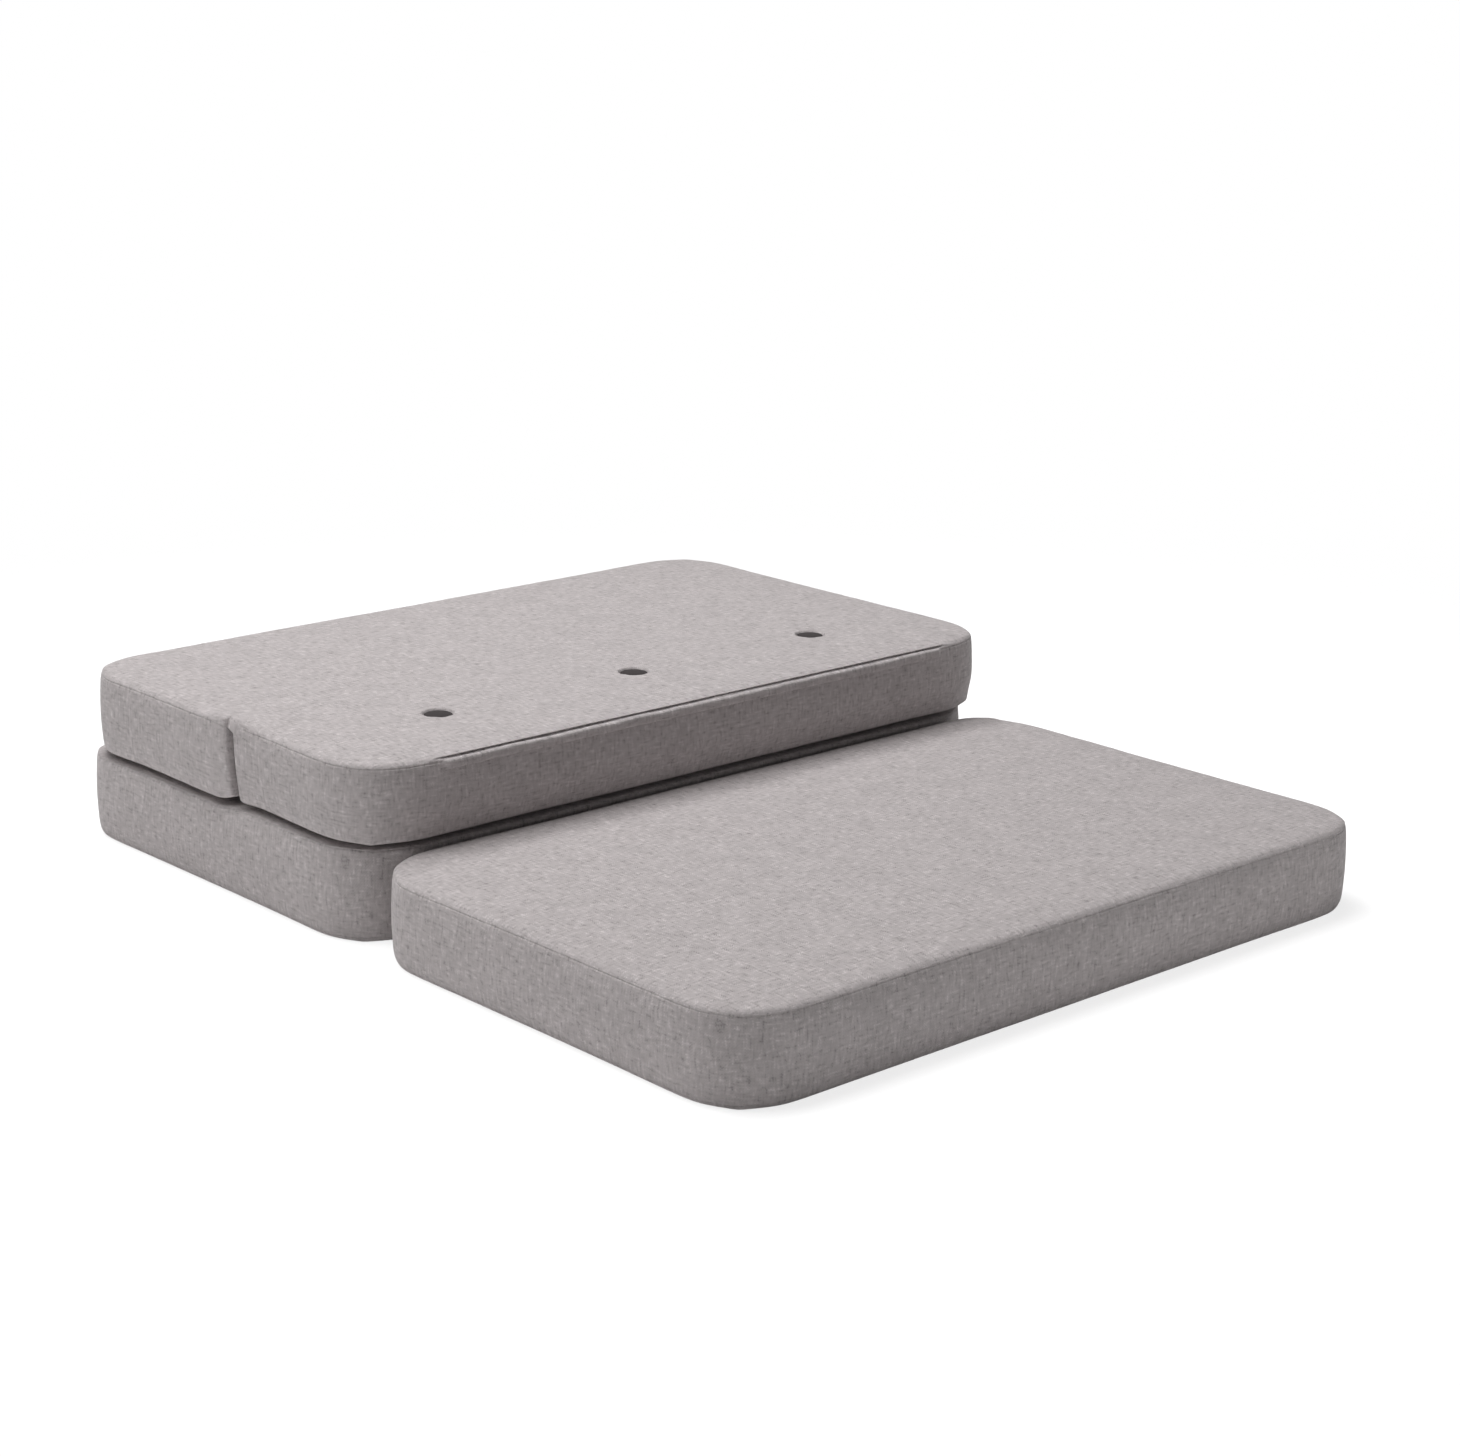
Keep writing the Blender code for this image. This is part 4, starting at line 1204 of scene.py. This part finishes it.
@dataclass
class RearWeb(HingeWeb):
    """The web behind, from the base over its edge to the rear of the upper layer, which lies further in."""

    name: str = "rear_web"
    bodies: tuple[str, str] = ("base", "rear_section")
    nodes: tuple[str, str] = ("rear_web_base_half", "rear_web_section_half")
    bend: float = 3.5 * MM
    blend_share: float = 0.15

    def build(self) -> bpy.types.Object:
        """Draw the web between the two layers and dress it."""
        low, low_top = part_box(self.nodes[0])
        high_bottom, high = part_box(self.nodes[1])
        y_base = low_top.y - self.thickness / 2
        y_section = high_bottom.y + self.thickness / 2
        middle_y = (y_base + y_section) / 2
        middle_z = (low_top.z + high_bottom.z) / 2
        lower_z, upper_z = middle_z - self.bend, middle_z + self.bend
        slope = [(y_base, lower_z), (middle_y, middle_z), (y_section, upper_z)]
        outline = [(y_base, low.z + (lower_z - low.z) * share) for share in (0, 0.35, 0.7, 0.88)]
        for start, end in zip(slope, slope[1:]):
            for share in (0.12, 0.3, 0.5, 0.7, 0.88):
                outline.append(tuple(a + (b - a) * share for a, b in zip(start, end)))
        outline += [(y_section, high.z - (high.z - upper_z) * share) for share in (0.88, 0.7, 0.35, 0)]
        obj = self.strip(outline, self.half_length)
        offset = Vector((0, y_base - middle_y, -self.bend)) * self.blend_share
        middle = Vector((0, middle_y, middle_z))
        return self.dress(obj, middle + offset, middle - offset)


@dataclass
class TopWeb(HingeWeb):
    """The cover cloth that carries on across the top of the split, over both ends.

    Behind the split its border runs slantwise up to the top edge, as the photo shows at the left end.
    """

    name: str = "top_web"
    bodies: tuple[str, str] = ("rear_section", "button_section")
    nodes: tuple[str, str] = ("top_web_rear_half", "top_web_front_half")
    half_length: float = 600 * MM
    thickness: float = 0.5 * MM
    columns: int = 240
    slot: str = "cover_fabric"
    end_zone: float = 8 * MM
    end_drop: float = 3 * MM
    border_sunk: float = 0.2 * MM
    proud: float = 0.15 * MM
    bridge_share: float = 0.4
    blend_share: float = 0.08
    row_shares: tuple[float, ...] = (1, 0.94, 0.87, 0.8, 0.73, 0.66, 0.59, 0.52, 0.45, 0.3, 0.18, 0.08, 0.03)
    border_run: float = 0.5
    sky_rise: float = 20 * MM
    sky: float = field(default=0.0, repr=False)

    def laid(self, tree: BVHTree, x: float, y: float, share: float) -> Vector:
        """Where a point of the web lies on the covers.

        Args:
            tree: Surfaces of both covers.
            x: Place along the sofa.
            y: Place to its rear.
            share: How far from the split, from 1 at the rear border to -1 at the front one.

        Returns:
            The point, a little sunk at the borders and proud elsewhere.
        """
        inner = self.half_length - self.end_zone
        over = max(0.0, abs(x) - inner) / self.end_zone
        start = Vector((math.copysign(min(abs(x), inner), x), y, self.sky))
        place = tree.ray_cast(start, Vector((0, 0, -1)))[0] or start
        if over:
            drop = self.end_drop * over * (1 - max(0.0, min(1.0, share / self.bridge_share)))
            beside = Vector((2 * x, y, place.z - drop))
            place = tree.ray_cast(beside, Vector((-math.copysign(1, x), 0, 0)))[0] or place
        near, normal, _, _ = tree.find_nearest(place)
        inward = min(1.0, (1 - abs(share)) / self.border_run)
        return near + normal * (inward * (self.border_sunk + self.proud) - self.border_sunk)

    def build(self, rear: LayerCover, section: LayerCover) -> bpy.types.Object:
        """Lay the web on both covers.

        Args:
            rear: Cover of the rear section.
            section: Cover of the button section.

        Returns:
            The dressed web.
        """
        rear_box, front_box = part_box(self.nodes[0]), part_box(self.nodes[1])
        middle_y = (front_box[1].y + rear_box[0].y) / 2
        reach = rear_box[1].y - middle_y
        level = front_box[1].z
        self.sky = level + self.sky_rise
        shares = list(self.row_shares) + [0.0] + [-share for share in reversed(self.row_shares)]
        obj = self.strip([(middle_y + share * reach, level) for share in shares], self.half_length)
        tree = surface_tree((rear.obj, section.obj))
        rows = points_of(obj.data).reshape(-1, len(shares), 3)
        edge_share = min(share for share in self.row_shares if share > self.bridge_share)
        for row in rows:
            x = row[0][0]
            for j, share in enumerate(shares):
                if abs(share) >= edge_share:
                    row[j] = self.laid(tree, x, middle_y + share * reach, share)
                    continue
                edges = (middle_y + side * edge_share * reach for side in (1, -1))
                behind, before = (self.laid(tree, x, y, share) for y in edges)
                row[j] = before.lerp(behind, (share / edge_share + 1) / 2)
        set_points(obj.data, rows.reshape(-1, 3))
        cloth = obj.data.uv_layers[CLOTH_MAP].data
        for loop in obj.data.loops:
            cloth[loop.index].uv = obj.data.vertices[loop.vertex_index].co.xy
        offset = Vector((0, self.blend_share * reach, 0))
        middle = Vector((0, middle_y, level))
        return self.dress(obj, middle + offset, middle - offset)


@dataclass
class CoveredButton:
    """A flat domed tufting button, turned as one body and drawn down into the cloth."""

    name: str
    segments: int = 64
    height: float = 3.6 * MM
    rim_radius: float = 1.1 * MM
    dome_share: float = 0.62
    dome_power: float = 2.4
    dome_steps: int = 9
    rim_steps: int = 6

    def build(self) -> bpy.types.Object:
        """Turn the button where its solid lies."""
        low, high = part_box(self.name)
        centre = (low + high) / 2
        radius = (high.x - low.x) / 2
        height = self.height
        rim_z = height * self.dome_share
        profile = [(0.0, height)]
        for k in range(1, self.dome_steps):
            out = k / self.dome_steps
            rise = 1 - out**self.dome_power
            profile.append(((radius - self.rim_radius) * out, rim_z + (height - rim_z) * rise))
        for k in range(self.rim_steps + 1):
            a = math.pi / 2 - math.pi * k / self.rim_steps
            out = radius - self.rim_radius + self.rim_radius * math.cos(a)
            profile.append((out, rim_z - self.rim_radius + self.rim_radius * math.sin(a)))
        profile += [(radius * 0.6, height * 0.05), (radius * 0.3, 0.0), (0.0, 0.0)]
        bm = bmesh.new()
        rings = []
        for out, up in profile:
            turns = range(self.segments if out > 0 else 1)
            ring = []
            for k in turns:
                a = 2 * math.pi * k / self.segments
                ring.append(bm.verts.new((out * math.cos(a), out * math.sin(a), up)))
            rings.append(ring)
        for upper, lower in zip(rings, rings[1:]):
            for k in range(self.segments):
                after = (k + 1) % self.segments
                if len(upper) == 1:
                    bm.faces.new((upper[0], lower[k], lower[after]))
                elif len(lower) == 1:
                    bm.faces.new((upper[after], upper[k], lower[0]))
                else:
                    bm.faces.new((upper[k], lower[k], lower[after], upper[after]))
        bmesh.ops.translate(bm, vec=(centre.x, centre.y, low.z), verts=bm.verts)
        bmesh.ops.recalc_face_normals(bm, faces=bm.faces)
        obj = mesh_object(self.name + "_dome", bm)
        obj.data.materials.append(MATERIALS["button"])
        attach(obj, "button_section")
        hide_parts(self.name)
        return obj


@dataclass
class ZipFlap:
    """The folded strip of cover cloth that hides the zip of the button section.

    It comes out of the groove under the top panel's edge, bellies out in a slightly wavy lip and lies down to
    its hem.
    """

    cover: LayerCover
    node: str = "button_section_zip_flap"
    half_length: float = 472 * MM
    thickness: float = 0.9 * MM
    columns: int = 300
    end_tuck: float = 8 * MM
    end_sink: float = 1.5 * MM
    wave: float = 0.9 * MM
    sway: float = 0.4
    short_lap: float = 26 * MM
    long_lap: float = 80 * MM
    probe_rise: float = 6 * MM
    probe_reach: float = 0.1
    tree: Optional[BVHTree] = field(default=None, repr=False)
    path: tuple[tuple[float, float], ...] = (
        (2.7 * MM, -2.6 * MM),
        (2.4 * MM, -1.3 * MM),
        (2.3 * MM, 0.1 * MM),
        (2.4 * MM, 1.5 * MM),
        (2.8 * MM, 2.9 * MM),
        (3.6 * MM, 4.1 * MM),
        (4.9 * MM, 4.9 * MM),
        (6.5 * MM, 5.2 * MM),
        (8.6 * MM, 5.4 * MM),
        (11.0 * MM, 5.5 * MM),
        (14.5 * MM, 5.4 * MM),
    )

    def build(self) -> bpy.types.Object:
        """Hang the flap from the upper seam, standing clear of the zip."""
        top_z = self.cover.edge_high - self.cover.lip_drop
        self.tree = surface_tree((self.cover.obj,))
        bm = bmesh.new()
        cloth = bm.loops.layers.uv.new(CLOTH_MAP)
        rows = []
        for i in range(self.columns + 1):
            x = self.half_length * (2 * i / self.columns - 1)
            end = min(1.0, (self.half_length - abs(x)) / self.end_tuck)
            lap = noise.noise(Vector((x / self.short_lap, 2.3, 0)))
            lap += noise.noise(Vector((x / self.long_lap, 7.1, 0)))
            row = []
            for down, out in self.path:
                lower = down / self.path[-1][0]
                out = (out + self.sway * self.wave * lap * lower) * end - self.end_sink * (1 - end)
                z = top_z - down - self.wave * lap
                row.append(bm.verts.new((x, self.face_y(x) - out, z)))
            rows.append(row)
        for i, (left, right) in enumerate(zip(rows, rows[1:])):
            for j in range(len(self.path) - 1):
                face = bm.faces.new((left[j], left[j + 1], right[j + 1], right[j]))
                for loop, (di, dj) in zip(face.loops, ((0, 0), (0, 1), (1, 1), (1, 0))):
                    loop[cloth].uv = (rows[i + di][0].co.x, top_z - self.path[j + dj][0])
        bm.normal_update()
        area = sum(face.calc_area() for face in bm.faces)
        obj = mesh_object(self.node + "_cloth", bm)
        solid = obj.modifiers.new("thickness", "SOLIDIFY")
        solid.thickness = self.thickness
        solid.offset = 0
        round_edge = obj.modifiers.new("soft_edge", "BEVEL")
        round_edge.width = 0.4 * self.thickness
        round_edge.segments = 2
        round_edge.limit_method = "ANGLE"
        obj.data.materials.append(MATERIALS["cover"])
        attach(obj, "button_section")
        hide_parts(self.node)
        return obj

    def face_y(self, x: float) -> float:
        """How far to the front the cover's face stands over the zip, at a place along the sofa."""
        start = Vector((x, self.cover.low.y - self.probe_reach, self.cover.zip_z + self.probe_rise))
        hit = self.tree.ray_cast(start, Vector((0, 1, 0)))[0]
        return hit.y if hit else self.cover.low.y


@dataclass
class ZipCoil:
    """The nylon coil along the edge of one zip tape, whose loops lie side by side."""

    layer: str
    side: str
    outward: int
    pitch: float = 1.6 * MM
    steps: int = 4
    ridge: float = 0.3 * MM
    height: float = 1.6 * MM
    apart: float = 1.0 * MM

    def build(self) -> bpy.types.Object:
        """Wind the coil as one ridged strip over the tape's edge."""
        low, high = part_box(f"{self.layer}_zip_{self.side}_tape")
        up = 1 if self.side == "upper" else -1
        centre_z = (low.z - self.apart / 2) if up > 0 else (high.z + self.apart / 2)
        face_y = high.y if self.outward > 0 else low.y
        profile = ((-0.9, 0.15), (0.0, 0.05), (0.25, 0.4), (0.25, 0.75), (0.0, 1.0), (-0.9, 1.0))
        count = int((high.x - low.x) / self.pitch * self.steps)
        xs = np.linspace(low.x, high.x, count + 1)
        turn = np.cos(2 * math.pi * (xs - low.x) / self.pitch)
        bm = bmesh.new()
        rows = []
        for x, wave in zip(xs, turn):
            row = []
            for out, share in profile:
                y = face_y + self.outward * (out * MM + self.ridge * wave * (out >= 0))
                z = centre_z + up * (self.apart / 2 + self.height * share)
                row.append(bm.verts.new((x, y, z)))
            rows.append(row)
        for left, right in zip(rows, rows[1:]):
            for j in range(len(profile) - 1):
                bm.faces.new((left[j], right[j], right[j + 1], left[j + 1]))
        for row in (rows[0], rows[-1]):
            bm.faces.new(row)
        bmesh.ops.recalc_face_normals(bm, faces=bm.faces)
        obj = mesh_object(f"{self.layer}_zip_{self.side}_coil", bm)
        obj.data.materials.append(MATERIALS["coil"])
        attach(obj, self.layer)
        return obj


@dataclass(frozen=True)
class PhotoCamera:
    """The camera of the reference view, fitted to the outlines of the layers."""

    place: tuple[float, float, float] = (-2.6974, -3.0354, 1.3514)
    target: tuple[float, float, float] = (0.2746, 0.2436, 0.1)
    roll: float = math.radians(0.637)
    focal_pixels: float = 2955.0
    frame_pixels: float = 1460.0
    sensor: float = 36.0

    def build(self) -> bpy.types.Object:
        """Place the camera and make it the scene's."""
        data = bpy.data.cameras.new("photo_camera")
        data.sensor_width = self.sensor
        data.lens = self.focal_pixels * self.sensor / self.frame_pixels
        camera = bpy.data.objects.new("photo_camera", data)
        bpy.context.scene.collection.objects.link(camera)
        camera.location = self.place
        direction = Vector(self.target) - Vector(self.place)
        camera.rotation_mode = "QUATERNION"
        turn = direction.to_track_quat("-Z", "Y")
        camera.rotation_quaternion = turn @ Quaternion((0, 0, 1), self.roll)
        bpy.context.scene.camera = camera
        return camera


@dataclass(frozen=True)
class SoftBox:
    """A square studio lamp."""

    name: str
    place: tuple[float, float, float]
    target: tuple[float, float, float]
    size: float
    power: float
    colour: str = "#FFFFFF"

    def build(self) -> None:
        """Hang the lamp and aim it."""
        data = bpy.data.lights.new(self.name, "AREA")
        data.shape = "SQUARE"
        data.size = self.size
        data.energy = self.power
        data.color = linear(self.colour)[:3]
        lamp = bpy.data.objects.new(self.name, data)
        bpy.context.scene.collection.objects.link(lamp)
        lamp.location = self.place
        aim = Vector(self.target) - Vector(self.place)
        lamp.rotation_mode = "QUATERNION"
        lamp.rotation_quaternion = aim.to_track_quat("-Z", "Y")


@dataclass(frozen=True)
class Studio:
    """Plain studio: a pale floor that runs out to white, soft lamps above and behind."""

    floor_half: float = 60.0
    floor_colour: str = "#FFFFFF"
    floor_lift: float = 0.55
    shadow_share: float = 0.5
    shadow_near: float = 1.0
    shadow_far: float = 2.4
    ambient: str = "#FFFFFF"
    ambient_strength: float = 0.045
    lamps: tuple[SoftBox, ...] = (
        SoftBox("overhead_softbox", (-0.2, 1.0, 4.5), (0.0, 0.0, 0.1), 2.8, 178.0),
        SoftBox("left_softbox", (-2.8, 0.8, 3.5), (0.0, 0.0, 0.1), 1.8, 40.0),
        SoftBox("front_softbox", (0.5, -2.1, 0.3), (0.1, -0.74, 0.06), 0.7, 2.0),
    )

    def world(self) -> None:
        """White behind everything to the eye, a low even light to the object."""
        world = bpy.data.worlds.new("studio_world")
        world.use_nodes = True
        bpy.context.scene.world = world
        tree = world.node_tree
        seen = self.seen_directly(tree)
        background = tree.nodes["Background"]
        background.inputs["Color"].default_value = linear(self.ambient)
        background.inputs["Strength"].default_value = self.ambient_strength
        white = add_node(tree, "ShaderNodeBackground", {"Color": (1, 1, 1, 1), "Strength": 1.0})
        mixed = add_node(
            tree,
            "ShaderNodeMixShader",
            links={0: seen, 1: background.outputs[0], 2: white.outputs[0]},
        )
        tree.links.new(mixed.outputs[0], tree.nodes["World Output"].inputs["Surface"])

    def seen_directly(self, tree: bpy.types.NodeTree) -> bpy.types.NodeSocket:
        """Socket that is 1 for what the eye sees, also in gloss or through glass."""
        path = add_node(tree, "ShaderNodeLightPath")
        seen = path.outputs["Is Camera Ray"]
        for other in ("Is Glossy Ray", "Is Transmission Ray"):
            joined = add_node(
                tree, "ShaderNodeMath", links={0: seen, 1: path.outputs[other]}, operation="MAXIMUM"
            )
            seen = joined.outputs[0]
        return seen

    def floor(self) -> bpy.types.Object:
        """A floor that shows white, keeps the shadow near the object and lets light pass below it."""
        bm = bmesh.new()
        bmesh.ops.create_grid(bm, x_segments=2, y_segments=2, size=self.floor_half)
        obj = mesh_object("studio_floor", bm, smooth=False)
        material, _ = new_material("pale_floor")
        tree = material.node_tree
        tree.nodes.clear()
        paint = add_node(tree, "ShaderNodeBsdfDiffuse", {"Color": linear(self.floor_colour)})
        glow = add_node(tree, "ShaderNodeEmission", {"Strength": self.floor_lift})
        lifted = add_node(tree, "ShaderNodeAddShader", links={0: paint.outputs[0], 1: glow.outputs[0]})
        clear = add_node(tree, "ShaderNodeBsdfTransparent")
        place = add_node(tree, "ShaderNodeTexCoord").outputs["Object"]
        reach = add_node(tree, "ShaderNodeVectorMath", links={0: place}, operation="LENGTH")
        share = add_node(
            tree,
            "ShaderNodeMapRange",
            {
                "From Min": self.shadow_near,
                "From Max": self.shadow_far,
                "To Min": self.shadow_share,
                "To Max": 0.0,
            },
            {"Value": reach.outputs["Value"]},
            interpolation_type="SMOOTHSTEP",
        )
        shown = add_node(
            tree,
            "ShaderNodeMixShader",
            links={0: share.outputs["Result"], 1: clear.outputs[0], 2: lifted.outputs[0]},
        )
        both = add_node(
            tree,
            "ShaderNodeMixShader",
            links={0: self.seen_directly(tree), 1: paint.outputs[0], 2: shown.outputs[0]},
        )
        output = add_node(tree, "ShaderNodeOutputMaterial", links={"Surface": both.outputs[0]})
        output.is_active_output = True
        obj.data.materials.append(material)
        obj.visible_shadow = False
        return obj

    def build(self) -> None:
        """Set up the world, the floor and the lamps."""
        self.world()
        self.floor()
        for lamp in self.lamps:
            lamp.build()
        bpy.context.scene.view_settings.view_transform = "Standard"


MATERIALS: dict[str, bpy.types.Material] = {}

CAD_FINISHES = {
    "foam": "foam",
    "zip_upper_tape": "tape",
    "zip_lower_tape": "tape",
    "zip_slider": "slider",
    "twine": "twine",
    "twine_anchor": "anchor",
}


def build_materials() -> None:
    """Build each finish once."""
    finishes = {
        "cover": COVER_CLOTH,
        "web": WEB_CLOTH,
        "foam": FOAM_FINISH,
        "button": BUTTON_FINISH,
        "tape": TAPE_FINISH,
        "coil": COIL_FINISH,
        "slider": SLIDER_FINISH,
        "twine": TWINE_FINISH,
        "anchor": ANCHOR_FINISH,
    }
    for key, finish in finishes.items():
        MATERIALS[key] = finish.build()


def dress_solids() -> None:
    """Give each solid of the frame that stays its finish."""
    for name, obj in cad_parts.items():
        for ending, key in CAD_FINISHES.items():
            if name.endswith(ending):
                obj.material_slots[0].material = MATERIALS[key]


def simulate(covers: Sequence[LayerCover]) -> None:
    """Run the cloth of all covers together and keep the result."""
    scene = bpy.context.scene
    for cover in covers:
        cover.add_cloth()
    for step in range(1, CLOTH_FRAMES + 1):
        scene.frame_set(step)
    for cover in covers:
        cover.keep_cloth()
    scene.frame_set(1)


def main() -> None:
    """Build and dress every sub-assembly in order."""
    logging.basicConfig(level=logging.INFO, format="%(name)s: %(message)s")
    build_materials()
    dress_solids()
    PhotoCamera().build()
    Studio().build()
    base = LayerCover("base", stands=True, carries=True)
    panel = LayerCover("front_panel", stands=True, rear_rim_rise=5 * MM)
    rear = LayerCover("rear_section", split=Split.FRONT, set_in=-4 * MM)
    section = LayerCover(
        "button_section",
        split=Split.REAR,
        set_in=4 * MM,
        zip_outward=-1,
        buttons=("left_button", "middle_button", "right_button"),
    )
    covers = (base, panel, rear, section)
    for cover in covers:
        cover.start()
    simulate(covers)
    for cover in covers:
        cover.finish()
    FrontWeb().build()
    RearWeb().build()
    TopWeb().build(rear, section)
    for name in section.buttons:
        CoveredButton(name).build()
    ZipFlap(section).build()
    for cover in covers:
        for side in ("upper", "lower"):
            ZipCoil(cover.name, side, cover.zip_outward).build()


if __name__ == "__main__":
    main()
